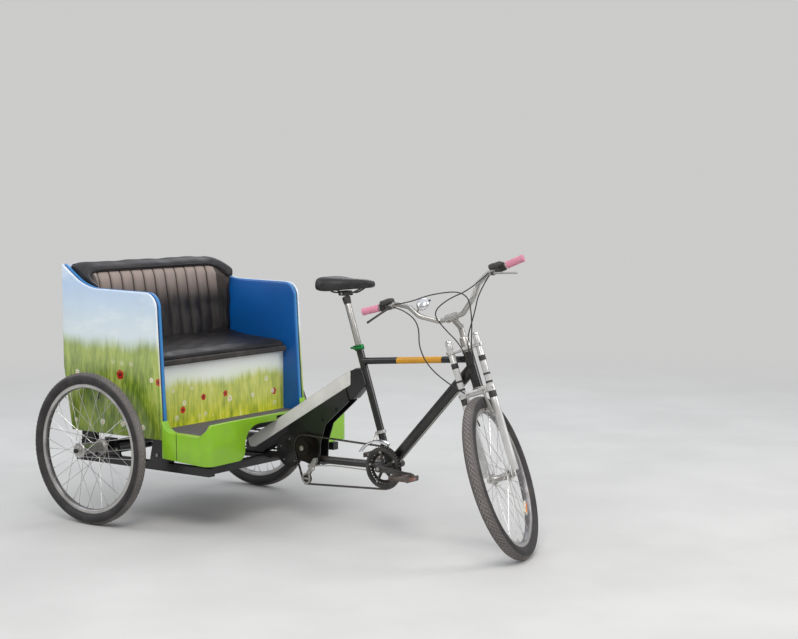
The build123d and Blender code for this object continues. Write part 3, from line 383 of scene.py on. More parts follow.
@dataclass(frozen=True)
class MeadowPrint:
    """Printed sky over a meadow: drifting cloud, a hazy hill line, tall grass, daisies and poppies, with a
    painted highlight on its rounded rims.
    """

    horizon: float
    haze: float = 0.07
    sky_top: Colour = rgb(176, 201, 232)
    sky_low: Colour = rgb(214, 226, 230)
    grass: tuple[Colour, ...] = (rgb(66, 92, 22), rgb(112, 142, 38), rgb(160, 182, 62), rgb(198, 208, 108))
    flower_low: float = 0.4
    flower_high: float = 0.66
    flower_scale: float = 15.0
    poppy_scale: float = 6.5
    top: float = 1.14
    # strength of the painted highlight on the rounded rims
    edge_highlight: float = 0.7
    depth_shade: float = 0.34

    def _flowers(
        self, graph: Graph, flat: Wire, scale: float, petals: int, reach: float, share: float, notch: float
    ) -> list[Wire]:
        """Masks of the petals and the hearts of flowers scattered over the print.

        Args:
            graph: the material's nodes.
            flat: coordinates in the print's plane.
            scale: cells a metre.
            petals: petals of a flower.
            reach: radius in cells.
            share: share of the cells that have a flower.
            notch: how deep the petals are parted.

        Returns:
            The petal mask and the heart mask.
        """
        cell = {"Vector": flat, "Scale": scale, "Randomness": 0.85}
        middle = graph.add("ShaderNodeTexVoronoi", cell, output="Position", voronoi_dimensions="2D")
        chance = graph.add("ShaderNodeTexVoronoi", cell, output="Color", voronoi_dimensions="2D")
        u, v, _ = graph.split(flat)
        mid_u, mid_v, _ = graph.split(middle)
        red, green, _ = graph.split(chance)
        du, dv = u - mid_u, v - mid_v
        far = (du * du + dv * dv).root() * scale
        angle = graph.add("ShaderNodeMath", {0: dv, 1: du}, operation="ARCTAN2") + green * 6.0
        edge = (angle * petals).wave() * notch + (1 - notch)
        size = red * 0.4 + 0.6
        shown = (green > 1 - share) * (far < edge * size * reach)
        return [shown, shown * (far < size * reach * 0.3)]

    def make(self, name: str) -> bpy.types.Material:
        """Build the material under a name."""
        graph = Graph(name)
        spot = graph.place()
        x, y, z = graph.split(spot)
        u = x + y
        flat = graph.join(u, z)
        tall = graph.noise(graph.join(u * 34.0, z * 6.0), 1.0, 4.0)
        blade = graph.noise(graph.join(u * 130.0, z * 17.0, u * 3.0), 1.0, 3.0)
        patch = graph.noise(flat, 7.0, 3.0)
        cloud = graph.noise(graph.join(u * 2.0, z * 4.5), 1.3, 5.0)
        lift = ((z - self.horizon) / (self.top - self.horizon)).step(0.0, 1.0)
        sky = graph.mix(lift, self.sky_low, self.sky_top)
        sky = graph.mix(cloud.step(0.5, 0.66) * 0.5, sky, rgb(240, 243, 244))
        level = tall * 0.55 + blade * 0.4 + patch * 0.35 - 0.14
        stops = [(0.34, self.grass[0]), (0.46, self.grass[1]), (0.56, self.grass[2]), (0.7, self.grass[3])]
        grass = graph.ramp(level, stops)
        depth = (z - (self.horizon - 0.4)).step(0.0, 0.4)
        grass = graph.mix((1 - depth) * self.depth_shade, grass, rgb(74, 84, 26))
        grass = graph.mix(depth.step(0.5, 1.0) * 0.5, grass, rgb(178, 188, 128))
        in_band = z.step(self.flower_low, self.flower_low + 0.05)
        in_band = in_band * (1 - z.step(self.flower_high, self.flower_high + 0.08))
        petals, hearts = self._flowers(graph, flat, self.flower_scale, 8, 0.26, 0.32, 0.22)
        shifted = graph.join(u + 0.37, z + 0.21)
        poppies, cores = self._flowers(graph, shifted, self.poppy_scale, 5, 0.15, 0.45, 0.07)
        red = graph.mix(patch.step(0.35, 0.65), rgb(206, 66, 44), rgb(178, 38, 30))
        grass = graph.mix(poppies * in_band, grass, red)
        grass = graph.mix(cores * in_band, grass, rgb(52, 26, 24))
        grass = graph.mix(petals * in_band * 0.92, grass, rgb(236, 236, 226))
        grass = graph.mix(hearts * in_band, grass, rgb(224, 176, 44))
        ridge = self.horizon + graph.noise(graph.join(u * 3.0, 0.3), 1.0, 2.0) * 0.12 - 0.06
        above = ((z - ridge + tall * 0.05 - 0.02) / self.haze).step(-0.5, 0.6)
        picture = graph.mix(above, grass, sky)
        # Painted highlight: the rounded rims, turned from the wall's plane, fade to a pale white above and to
        # lime low down.
        turned = 1 - graph.split(graph.add("ShaderNodeNewGeometry", output="Normal"))[1].size()
        pale = graph.mix(z.step(0.5, 0.9), rgb(214, 220, 150), rgb(240, 243, 246))
        pale = graph.mix(z.step(0.46, 0.6), rgb(142, 196, 56), pale)
        rim = turned.step(0.1, 0.7) * self.edge_highlight
        speck = graph.noise(spot, 210.0, 2.0)
        dust = (graph.noise(spot, 5.0, 5.0) * 0.7 + speck * 0.3).step(0.5, 0.8) * 0.16
        shade = graph.mix(rim, picture, pale)
        return graph.finish(
            base_color=graph.mix(dust, shade, rgb(140, 135, 125)),
            roughness=dust * 0.8 + 0.3,
            coat_weight=0.25,
            coat_roughness=0.18,
            normal=graph.bump(graph.noise(spot, 60.0, 2.0), 0.0006, 0.4),
        )


@dataclass(frozen=True)
class Vinyl:
    """Coated cloth: fine pebble grain, soft creases and a broad sheen; where pleated, a painted sheen on the
    upper part and dark sewn lines that carry painted shade in the grooves.
    """

    colour: Colour = rgb(21, 19, 20)
    worn: Colour = rgb(66, 58, 55)
    pleat: float = 0.0

    def make(self, name: str) -> bpy.types.Material:
        """Build the material under a name."""
        graph = Graph(name)
        spot = graph.place()
        _, y, z = graph.split(spot)
        grain = graph.add("ShaderNodeTexVoronoi", {"Vector": spot, "Scale": 650.0}, output="Distance")
        crease = graph.noise(graph.place((1.0, 1.0, 0.6)), 16.0, 4.0, 0.55)
        cloud = graph.noise(spot, 6.0, 4.0)
        wear = (cloud * 0.5 + crease * 0.5).step(0.42, 0.66)
        shade = graph.mix(wear * 0.3, self.colour, self.worn)
        if self.pleat:
            # Painted sheen: the pleated vinyl is darkened, then grows paler towards the top, a painted
            # reflection of the sky.
            high = z.step(0.92, 1.1)
            deep = graph.mix(0.35, shade, rgb(12, 10, 11))
            shade = graph.mix(high * 0.95 + wear * 0.05, deep, rgb(168, 152, 144))
            # Dark lines along the pleat grooves: sewn seams, darkened further as painted shade in the
            # grooves.
            crest = (y * (2 * pi / self.pleat)).wave()
            inside = y.size() < 0.4
            shade = graph.mix(crest.step(0.86, 0.995) * inside * 0.92, shade, rgb(6, 5, 6))
            # The wings keep a plain dark tone, without the painted sheen.
            shade = graph.mix((y.size() > 0.386) * 0.8, shade, rgb(18, 16, 17))
        relief = grain * 0.18 + crease.step(0.35, 0.65) * 0.8
        return graph.finish(
            base_color=shade,
            roughness=wear * 0.1 + (0.4 + grain * 0.12),
            specular_ior_level=0.34,
            normal=graph.bump(relief, 0.0008, 0.5),
        )


@dataclass(frozen=True)
class TyreRubber:
    """Black rubber with road dust over its tread and moulded rings on its sidewall."""

    centre: Point
    axle: Point
    tread_from: float = 0.319

    def make(self, name: str) -> bpy.types.Material:
        """Build the material under a name."""
        graph = Graph(name)
        spot = graph.place()
        offset = graph.add("ShaderNodeVectorMath", {0: spot, 1: self.centre}, operation="SUBTRACT")
        along = graph.add(
            "ShaderNodeVectorMath", {0: offset, 1: self.axle}, output="Value", operation="DOT_PRODUCT"
        )
        span = graph.add(
            "ShaderNodeVectorMath", {0: offset, 1: offset}, output="Value", operation="DOT_PRODUCT"
        )
        radius = (span - along * along).root()
        tread = radius.step(self.tread_from, self.tread_from + 0.009)
        speck = graph.noise(spot, 300.0, 3.0)
        cloud = graph.noise(spot, 14.0, 4.0)
        dusty = (speck * 0.6 + cloud * 0.4).step(0.38, 0.66)
        rubber = graph.mix(cloud.step(0.4, 0.7) * 0.5, rgb(36, 34, 35), rgb(56, 52, 52))
        crown = radius.step(0.3308, 0.3332)
        shade = graph.mix(tread * (dusty * 0.35 + 0.55), rubber, rgb(134, 128, 126))
        shade = graph.mix(crown * (dusty * 0.5 + 0.35), shade, rgb(150, 145, 142))
        shade = graph.mix((1 - tread) * dusty * 0.16, shade, rgb(112, 106, 102))
        rings = (radius * 1400.0).wave() * (1 - tread)
        relief = rings * 0.5 + speck * 0.8
        return graph.finish(
            base_color=shade,
            roughness=tread * 0.12 + 0.62,
            specular_ior_level=0.4,
            normal=graph.bump(relief, 0.0004, 0.6),
        )


@dataclass(frozen=True)
class Metal:
    """Bare or plated metal with fine scratches, dulling and grime."""

    colour: Colour
    roughness: float = 0.28
    grime: Colour = rgb(70, 62, 54)
    griming: float = 0.3
    grain: float = 0.4

    def make(self, name: str) -> bpy.types.Material:
        """Build the material under a name."""
        graph = Graph(name)
        spot = graph.place()
        cloud = graph.noise(spot, 12.0, 4.0)
        fine = graph.noise(spot, 500.0, 2.0)
        scratch = graph.noise(graph.place((6.0, 1.0, 1.0)), 90.0, 2.0)
        dull = (cloud * 0.85 + fine * 0.15).step(0.42, 0.72)
        return graph.finish(
            base_color=graph.mix(dull * self.griming, self.colour, self.grime),
            metallic=1.0 - dull * (0.5 * self.griming),
            roughness=dull * 0.25 + scratch * 0.12 + self.roughness,
            normal=graph.bump(scratch * 0.6 + fine * 0.4, 0.0001, self.grain),
        )


@dataclass(frozen=True)
class Moulded:
    """Plastic or soft rubber with a fine texture and some dust."""

    colour: Colour
    roughness: float = 0.55
    dust: Colour = rgb(120, 114, 108)
    dusting: float = 0.25
    texture: float = 380.0
    relief: float = 0.0004

    def make(self, name: str) -> bpy.types.Material:
        """Build the material under a name."""
        graph = Graph(name)
        spot = graph.place()
        cell = graph.add("ShaderNodeTexVoronoi", {"Vector": spot, "Scale": self.texture}, output="Distance")
        cloud = graph.noise(spot, 18.0, 4.0)
        patch = (cloud * 0.7 + cell * 0.3).step(0.36, 0.66)
        shade = graph.mix(patch * self.dusting, self.colour, self.dust)
        return graph.finish(
            base_color=shade,
            roughness=patch * 0.15 + self.roughness,
            normal=graph.bump(cell, self.relief, 0.6),
        )


@dataclass(frozen=True)
class Lens:
    """Moulded lens with a prism pattern behind its face, painted brighter on its facets as glints."""

    colour: Colour
    pitch: float = 0.006

    def make(self, name: str) -> bpy.types.Material:
        """Build the material under a name."""
        graph = Graph(name)
        x, y, z = graph.split(graph.place())
        turn = 2 * pi / self.pitch
        prism = (y * turn).wave() * 0.5 + ((z + x) * turn).wave() * 0.5
        # Painted glints: the prism pattern blends the lens colour towards a brighter copy of it.
        prism_glint = tuple(min(1.0, channel * 1.9 + 0.05) for channel in self.colour[:3]) + (1.0,)
        return graph.finish(
            base_color=graph.mix(prism.step(-0.2, 0.9), self.colour, prism_glint),
            roughness=0.12,
            coat_weight=0.8,
            normal=graph.bump(prism, 0.0006, 0.5),
        )


@dataclass(frozen=True)
class Plywood:
    """Plain plywood: long grain with darker lines and a worn face."""

    light: Colour = rgb(176, 148, 108)
    dark: Colour = rgb(128, 98, 64)

    def make(self, name: str) -> bpy.types.Material:
        """Build the material under a name."""
        graph = Graph(name)
        spot = graph.place((4.0, 0.6, 4.0))
        grain = graph.noise(spot, 9.0, 6.0, 0.65)
        fine = graph.noise(graph.place((120.0, 3.0, 120.0)), 1.0, 3.0)
        line = (grain * 22.0).wave() * 0.5 + 0.5
        return graph.finish(
            base_color=graph.mix((line * 0.6 + fine * 0.4).step(0.2, 0.9), self.light, self.dark),
            roughness=line * 0.1 + 0.6,
            normal=graph.bump(fine, 0.0005, 0.5),
        )


class Form:
    """Shapes of one piece, gathered in one mesh with their finishes."""

    def __init__(self, name: str) -> None:
        """Start an empty piece."""
        self.name = name
        self.whole = bmesh.new()
        self.materials: list[bpy.types.Material] = []

    def slot(self, material: bpy.types.Material) -> int:
        """Number of a finish in this piece."""
        if material not in self.materials:
            self.materials.append(material)
        return self.materials.index(material)

    def add(
        self, shape: bmesh.types.BMesh, material: bpy.types.Material, place: Matrix | None = None
    ) -> None:
        """Merge a finished shape into the piece.

        Args:
            shape: the shape, used up here.
            material: its finish.
            place: where it goes.
        """
        if place is not None:
            shape.transform(place)
        bmesh.ops.recalc_face_normals(shape, faces=shape.faces)
        number = self.slot(material)
        for face in shape.faces:
            face.material_index = number
        carrier = bpy.data.meshes.new("carrier")
        shape.to_mesh(carrier)
        shape.free()
        self.whole.from_mesh(carrier)
        bpy.data.meshes.remove(carrier)

    def rod(
        self, start: Vector, end: Vector, radius: float, material: bpy.types.Material,
        end_radius: float | None = None, sides: int = 20, rounding: float = 0.0,
    ) -> None:
        """Round bar or cone between two points.

        Args:
            start: first end.
            end: second end.
            radius: radius at the start.
            material: finish.
            end_radius: radius at the end, if another.
            sides: sides of its section.
            rounding: radius of the rims of its ends.
        """
        last = radius if end_radius is None else end_radius
        run = end - start
        shape = bmesh.new()
        bmesh.ops.create_cone(
            shape, cap_ends=True, segments=sides, radius1=radius, radius2=last, depth=run.length
        )
        if rounding:
            rims = [edge for edge in shape.edges if any(len(face.verts) > 4 for face in edge.link_faces)]
            soften(shape, rims, rounding, 2)
        turn = run.to_track_quat("Z", "Y").to_matrix().to_4x4()
        self.add(shape, material, Matrix.Translation((start + end) / 2) @ turn)

    def block(
        self, size: Point, place: Matrix, material: bpy.types.Material, rounding: float = 0.0,
        segments: int = 2,
    ) -> None:
        """Box about a local origin, with rounded edges.

        Args:
            size: its three sides.
            place: where it goes.
            material: finish.
            rounding: radius of its edges.
            segments: segments of each rounding.
        """
        shape = bmesh.new()
        bmesh.ops.create_cube(shape, size=1.0)
        bmesh.ops.scale(shape, vec=size, verts=shape.verts)
        if rounding:
            soften(shape, shape.edges[:], rounding, segments)
        self.add(shape, material, place)

    def ball(self, place: Matrix, size: Point, material: bpy.types.Material, sides: int = 24) -> None:
        """Ellipsoid of three radii."""
        shape = bmesh.new()
        bmesh.ops.create_uvsphere(shape, u_segments=sides, v_segments=sides // 2, radius=1.0)
        bmesh.ops.scale(shape, vec=size, verts=shape.verts)
        self.add(shape, material, place)

    def lathe(
        self, profile: list[Pair], place: Matrix, material: bpy.types.Material, sides: int = 48,
        closed: bool = False,
    ) -> None:
        """Shape turned about local Z from a profile of (radius, height) pairs.

        Args:
            profile: the profile's corners.
            place: where it goes.
            material: finish.
            sides: steps of the turn.
            closed: whether the profile's last corner joins its first.
        """
        shape = bmesh.new()
        line = [shape.verts.new((radius, 0, height)) for radius, height in profile]
        pairs = list(zip(line, line[1:])) + ([(line[-1], line[0])] if closed else [])
        edges = [shape.edges.new(pair) for pair in pairs]
        bmesh.ops.spin(
            shape, geom=line + edges, cent=(0, 0, 0), axis=(0, 0, 1), angle=2 * pi, steps=sides,
            use_merge=True,
        )
        bmesh.ops.remove_doubles(shape, verts=shape.verts, dist=1e-6)
        self.add(shape, material, place)

    def plate(
        self, outline: list[Pair], place: Matrix, wall: float, material: bpy.types.Material,
        corners: dict[int, float] | float = 0.0, rounding: float = 0.0, inset: float = 0.0, steps: int = 10,
    ) -> None:
        """Plate of an outline in local X and Y, as thick as its wall along local Z.

        Args:
            outline: its corners.
            place: where it goes.
            wall: thickness.
            material: finish.
            corners: rounding radius of all corners, or of each by its number.
            rounding: radius of the edges round both faces.
            inset: how far the outline is drawn in.
            steps: segments of a corner.
        """
        shape = flat_outline(outline, corners, steps)
        if inset:
            bmesh.ops.inset_region(
                shape, faces=shape.faces[:], thickness=inset, use_boundary=True, use_even_offset=True
            )
            ring = [
                face for face in shape.faces
                if len(face.verts) == 4 and any(e.is_boundary for e in face.edges)
            ]
            bmesh.ops.delete(shape, geom=ring, context="FACES")
        thicken(shape, wall)
        if rounding:
            rims = [edge for edge in shape.edges if edge.is_manifold and round_rim(edge)]
            soften(shape, rims, rounding, 3, clamp=True)
        self.add(shape, material, place)

    def tube(
        self, points: list[Vector], radius: float, material: bpy.types.Material, sides: int = 2
    ) -> None:
        """Round tube along a smooth line.

        Args:
            points: the line's control points.
            radius: tube radius.
            material: finish.
            sides: fineness of its section.
        """
        curve = bpy.data.curves.new("line", "CURVE")
        curve.dimensions = "3D"
        spline = curve.splines.new("NURBS")
        spline.points.add(len(points) - 1)
        for knot, point in zip(spline.points, points):
            knot.co = (*point, 1.0)
        spline.order_u = 3
        spline.use_endpoint_u = True
        spline.resolution_u = 8
        curve.bevel_depth = radius
        curve.bevel_resolution = sides
        curve.use_fill_caps = True
        holder = bpy.data.objects.new("line", curve)
        mesh = bpy.data.meshes.new_from_object(holder)
        shape = bmesh.new()
        shape.from_mesh(mesh)
        bpy.data.objects.remove(holder)
        bpy.data.curves.remove(curve)
        bpy.data.meshes.remove(mesh)
        self.add(shape, material)

    def loft(self, sections: list[list[Vector]], material: bpy.types.Material) -> None:
        """Closed skin through loops of the same count."""
        self.add(lofted(sections), material)

    def cog(
        self, teeth: int, radius: float, wall: float, place: Matrix, material: bpy.types.Material,
        bore: float, depth: float = 0.004,
    ) -> None:
        """Toothed ring about local Z.

        Args:
            teeth: number of teeth.
            radius: radius of the tooth tips.
            wall: thickness.
            place: where its middle lies.
            material: finish.
            bore: inner radius.
            depth: tooth depth.
        """
        shape = bmesh.new()
        ring = bmesh.ops.create_circle(
            shape, cap_ends=False, segments=teeth * 4, radius=radius - depth
        )["verts"]
        for number, vert in enumerate(ring):
            if number % 4 in (0, 1):
                vert.co *= radius / (radius - depth)
        inner = bmesh.ops.create_circle(shape, cap_ends=False, segments=teeth * 4, radius=bore)["verts"]
        rim_edges = {edge for vert in ring + inner for edge in vert.link_edges}
        bmesh.ops.bridge_loops(shape, edges=list(rim_edges))
        thicken(shape, wall)
        self.add(shape, material, place @ Matrix.Translation((0, 0, -wall / 2)))

    def repeat(self, first_face: int, count: int, place: Matrix) -> None:
        """Copy the faces added since a number round local Z, evenly through a full turn.

        Args:
            first_face: number of faces before the ones copied.
            count: copies in all.
            place: whose local Z is the axis.
        """
        self.whole.faces.ensure_lookup_table()
        faces = self.whole.faces[first_face:]
        geom = list({vert for face in faces for vert in face.verts})
        geom += list({edge for face in faces for edge in face.edges}) + faces
        axis = (place.to_3x3() @ UP).normalized()
        bmesh.ops.spin(
            self.whole, geom=geom, cent=place.translation, axis=axis, angle=2 * pi * (count - 1) / count,
            steps=count - 1, use_duplicate=True,
        )

    def count(self) -> int:
        """Number of faces so far."""
        return len(self.whole.faces)

    def build(self, body: str, replaces: tuple[str, ...] = (), slot: str = "") -> None:
        """Write the piece out and hang it on its body.

        Args:
            body: the body it moves with.
            replaces: CAD nodes it stands for.
            slot: not used.
        """
        for face in self.whole.faces:
            face.smooth = True
        for edge in self.whole.edges:
            if edge.is_manifold and edge.calc_face_angle(0.0) > SHARP_ANGLE:
                edge.smooth = False
        mesh = bpy.data.meshes.new(self.name)
        self.whole.to_mesh(mesh)
        self.whole.free()
        for material in self.materials:
            mesh.materials.append(material)
        piece = bpy.data.objects.new(self.name, mesh)
        bpy.context.scene.collection.objects.link(piece)
        hang(piece, body, replaces)


def hang(piece: bpy.types.Object, body: str, replaces: tuple[str, ...] = ()) -> None:
    """Tie a piece to its body and its nodes, and report it.

    Args:
        piece: the new object.
        body: the body it moves with.
        replaces: CAD nodes it stands for.
    """
    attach(piece, body)
    if replaces:
        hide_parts(*replaces)
    count = sum(len(face.vertices) - 2 for face in piece.data.polygons)
    log.info("%s rides on %s: %d triangles", piece.name, body, count)


def flat_outline(outline: list[Pair], corners: dict[int, float] | float, steps: int) -> bmesh.types.BMesh:
    """Flat face of an outline with rounded corners.

    Args:
        outline: its corners.
        corners: rounding radius of all corners, or of each by its number.
        steps: segments of a corner.

    Returns:
        The new shape.
    """
    shape = bmesh.new()
    verts = [shape.verts.new((x, y, 0)) for x, y in outline]
    shape.faces.new(verts)
    count = len(outline)
    for number, vert in enumerate(verts):
        radius = corners.get(number, 0.0) if isinstance(corners, dict) else corners
        if not radius:
            continue
        before = Vector(outline[number - 1]) - Vector(outline[number])
        after = Vector(outline[(number + 1) % count]) - Vector(outline[number])
        offset = radius / tan(before.angle(after) / 2)
        bmesh.ops.bevel(
            shape, geom=[vert], offset=offset, segments=steps, profile=0.5, affect="VERTICES", material=-1,
            clamp_overlap=False,
        )
    return shape


def thicken(shape: bmesh.types.BMesh, wall: float) -> None:
    """Give a flat shape its wall along local Z."""
    copied = bmesh.ops.extrude_face_region(shape, geom=shape.faces[:], use_keep_orig=True)["geom"]
    verts = [item for item in copied if isinstance(item, bmesh.types.BMVert)]
    bmesh.ops.translate(shape, vec=(0, 0, wall), verts=verts)


def soften(
    shape: bmesh.types.BMesh, edges: list[bmesh.types.BMEdge], radius: float, segments: int,
    clamp: bool = False,
) -> None:
    """Round some edges of a shape.

    Args:
        shape: the shape, changed in place.
        edges: the edges to round.
        radius: how far the rounding reaches on each side.
        segments: segments of the rounding.
        clamp: whether it narrows where two roundings would overlap.
    """
    bmesh.ops.bevel(
        shape, geom=edges, offset=radius, segments=segments, profile=0.5, affect="EDGES", material=-1,
        clamp_overlap=clamp,
    )


def round_rim(edge: bmesh.types.BMEdge) -> bool:
    """Whether an edge runs round a face of a plate."""
    flat = [abs(face.normal.z) > 0.9 for face in edge.link_faces]
    return flat.count(True) == 1


def lofted(sections: list[list[Vector]]) -> bmesh.types.BMesh:
    """Skin bridged through loops of the same count, closed at both ends.

    Args:
        sections: the loops, in order.

    Returns:
        The new shape.
    """
    shape = bmesh.new()
    loops = []
    for section in sections:
        verts = [shape.verts.new(point) for point in section]
        loops.append([shape.edges.new(pair) for pair in zip(verts, verts[1:] + verts[:1])])
    for first, second in zip(loops, loops[1:]):
        bmesh.ops.bridge_loops(shape, edges=first + second)
    for loop in (loops[0], loops[-1]):
        bmesh.ops.contextual_create(shape, geom=loop)
    return shape


def collar(inner: float, outer: float, low: float, high: float, chamfer: Pair) -> list[Pair]:
    """Profile of a ring with chamfered outer rims, for a closed lathe.

    Args:
        inner: inner radius.
        outer: outer radius.
        low: height of its lower end.
        high: height of its upper end.
        chamfer: the chamfer's width, across the axis and along it.

    Returns:
        Its corners.
    """
    across, along = chamfer
    rim = outer - across
    return [(inner, low), (rim, low), (outer, low + along), (outer, high - along), (rim, high), (inner, high)]


def dress(node: str, material: bpy.types.Material) -> None:
    """Give a CAD node a better finish."""
    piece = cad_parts[node]
    for holder in piece.material_slots:
        holder.material = material
    log.info("%s keeps its shape", node)


class Palette:
    """Every finish of the vehicle, made once."""

    def __init__(self) -> None:
        """Build the finishes."""
        self.wall = MeadowPrint(horizon=0.8).make("wall_print")
        self.back = MeadowPrint(horizon=0.78, edge_highlight=0.0).make("back_print")
        self.riser = MeadowPrint(
            horizon=0.6, haze=0.05, sky_top=rgb(244, 246, 248), sky_low=rgb(228, 236, 214), top=0.7,
            flower_low=0.43, flower_high=0.54, edge_highlight=0.0, depth_shade=0.08,
            grass=(rgb(134, 152, 22), rgb(188, 202, 34), rgb(230, 230, 58), rgb(246, 246, 150)),
        ).make("riser_print")
        # The lighter blue is the painted highlight on the linings' rounded edges.
        self.blue = Laminate(rgb(0, 92, 170), rgb(66, 150, 206)).make("blue_laminate")
        # The lime's pale dust colour on upward faces is partly dust and partly a painted highlight along the
        # top rims.
        self.lime = GlossPaint(
            rgb(136, 190, 26), dust=rgb(196, 214, 146), dusting=0.3, roughness=0.28, speckle=0.2, ripple=0.3
        ).make("lime_gelcoat")
        self.vinyl = Vinyl().make("vinyl")
        self.pleated = Vinyl(pleat=0.07).make("pleated_vinyl")
        self.piping = Vinyl(rgb(22, 20, 21), rgb(60, 54, 52)).make("piping")
        # The lip's lighter colours stand for a painted sheen along the cushion's front edge.
        self.lip = Vinyl(rgb(50, 46, 45), rgb(104, 96, 92)).make("lip_painted_sheen")
        self.roll = Vinyl(rgb(34, 32, 34), rgb(92, 88, 90)).make("roll_vinyl")
        self.black = GlossPaint(rgb(11, 11, 12), dusting=0.16, roughness=0.3, coat=0.12).make("black_paint")
        self.banded = GlossPaint(
            rgb(11, 11, 12), dusting=0.2, roughness=0.28, coat=0.2, band=rgb(212, 150, 10),
            band_from=REAR_AXLE_X + 1.265, band_to=REAR_AXLE_X + 1.491,
        ).make("banded_paint")
        # Pale grey-brown patches on the tubes' black paint: partly wear, partly a painted sheen along the
        # tubes.
        self.tubing = GlossPaint(
            rgb(15, 14, 14), dust=rgb(126, 114, 108), dusting=0.42, roughness=0.24, coat=0.3, speckle=0.25
        ).make("black_paint_wear_and_sheen")
        self.cover = GlossPaint(
            rgb(222, 220, 214), dust=rgb(150, 145, 138), dusting=0.26, roughness=0.32, speckle=0.25,
            ripple=0.3,
        ).make("cover_gelcoat")
        self.fork = GlossPaint(
            rgb(212, 211, 209), dust=rgb(112, 108, 104), dusting=0.3, roughness=0.26, metallic=0.3,
            speckle=0.1, ripple=0.08,
        ).make("fork_paint")
        self.alloy = Metal(rgb(184, 182, 178), roughness=0.3, griming=0.25, grain=0.15).make("alloy")
        self.cage = Metal(
            rgb(120, 113, 108), roughness=0.4, griming=0.8, grime=rgb(66, 48, 38), grain=0.3
        ).make("worn_cage")
        self.shell = Moulded(rgb(26, 26, 28), roughness=0.6, dusting=0.12, texture=120.0).make("under_shell")
        self.rim = Metal(rgb(204, 201, 197), roughness=0.3, griming=0.35).make("rim_alloy")
        # The rim bed that faces the hub takes a darker, duller copy of the rim alloy as painted shade.
        self.rim_bed = Metal(rgb(150, 148, 150), roughness=0.34, griming=0.7).make("rim_bed_alloy_painted_shade")
        self.chrome = Metal(rgb(226, 226, 228), roughness=0.1, griming=0.12, grain=0.15).make("chrome")
        self.steel = Metal(rgb(176, 172, 166), roughness=0.32, griming=0.45).make("steel")
        self.chain = Metal(
            rgb(58, 53, 49), roughness=0.36, griming=0.7, grime=rgb(22, 19, 17)
        ).make("oiled_steel")
        self.spoke = Metal(rgb(214, 212, 210), roughness=0.22, griming=0.2).make("spoke_steel")
        self.mat = Moulded(rgb(96, 93, 96), roughness=0.75, dusting=0.55, texture=240.0).make("mat_rubber")
        self.plastic = Moulded(rgb(30, 30, 31), roughness=0.48).make("black_plastic")
        self.cable = Moulded(rgb(24, 24, 25), roughness=0.4, dusting=0.15).make("cable_sleeve")
        self.pale_cable = Moulded(rgb(150, 150, 142), roughness=0.5).make("pale_sleeve")
        self.grip = Moulded(
            rgb(216, 142, 164), roughness=0.6, dust=rgb(188, 126, 144), dusting=0.4, texture=420.0,
            relief=0.0004,
        ).make("grip_rubber")
        self.saddle = Moulded(rgb(15, 14, 15), roughness=0.42, dusting=0.08, texture=700.0).make(
            "saddle_cover"
        )
        self.seal = Moulded(rgb(26, 28, 32), roughness=0.6).make("seal_rubber")
        self.green = Metal(rgb(36, 116, 58), roughness=0.3, griming=0.2).make("green_anodised")
        self.wood = Plywood().make("plywood")
        self.red_lens = Lens(rgb(170, 20, 18)).make("red_lens")
        self.amber_lens = Lens(rgb(214, 110, 20)).make("amber_lens")
        self.clear_lens = Lens(rgb(190, 184, 170)).make("clear_lens")
        self.brown_lens = Lens(rgb(112, 52, 34)).make("brown_lens")


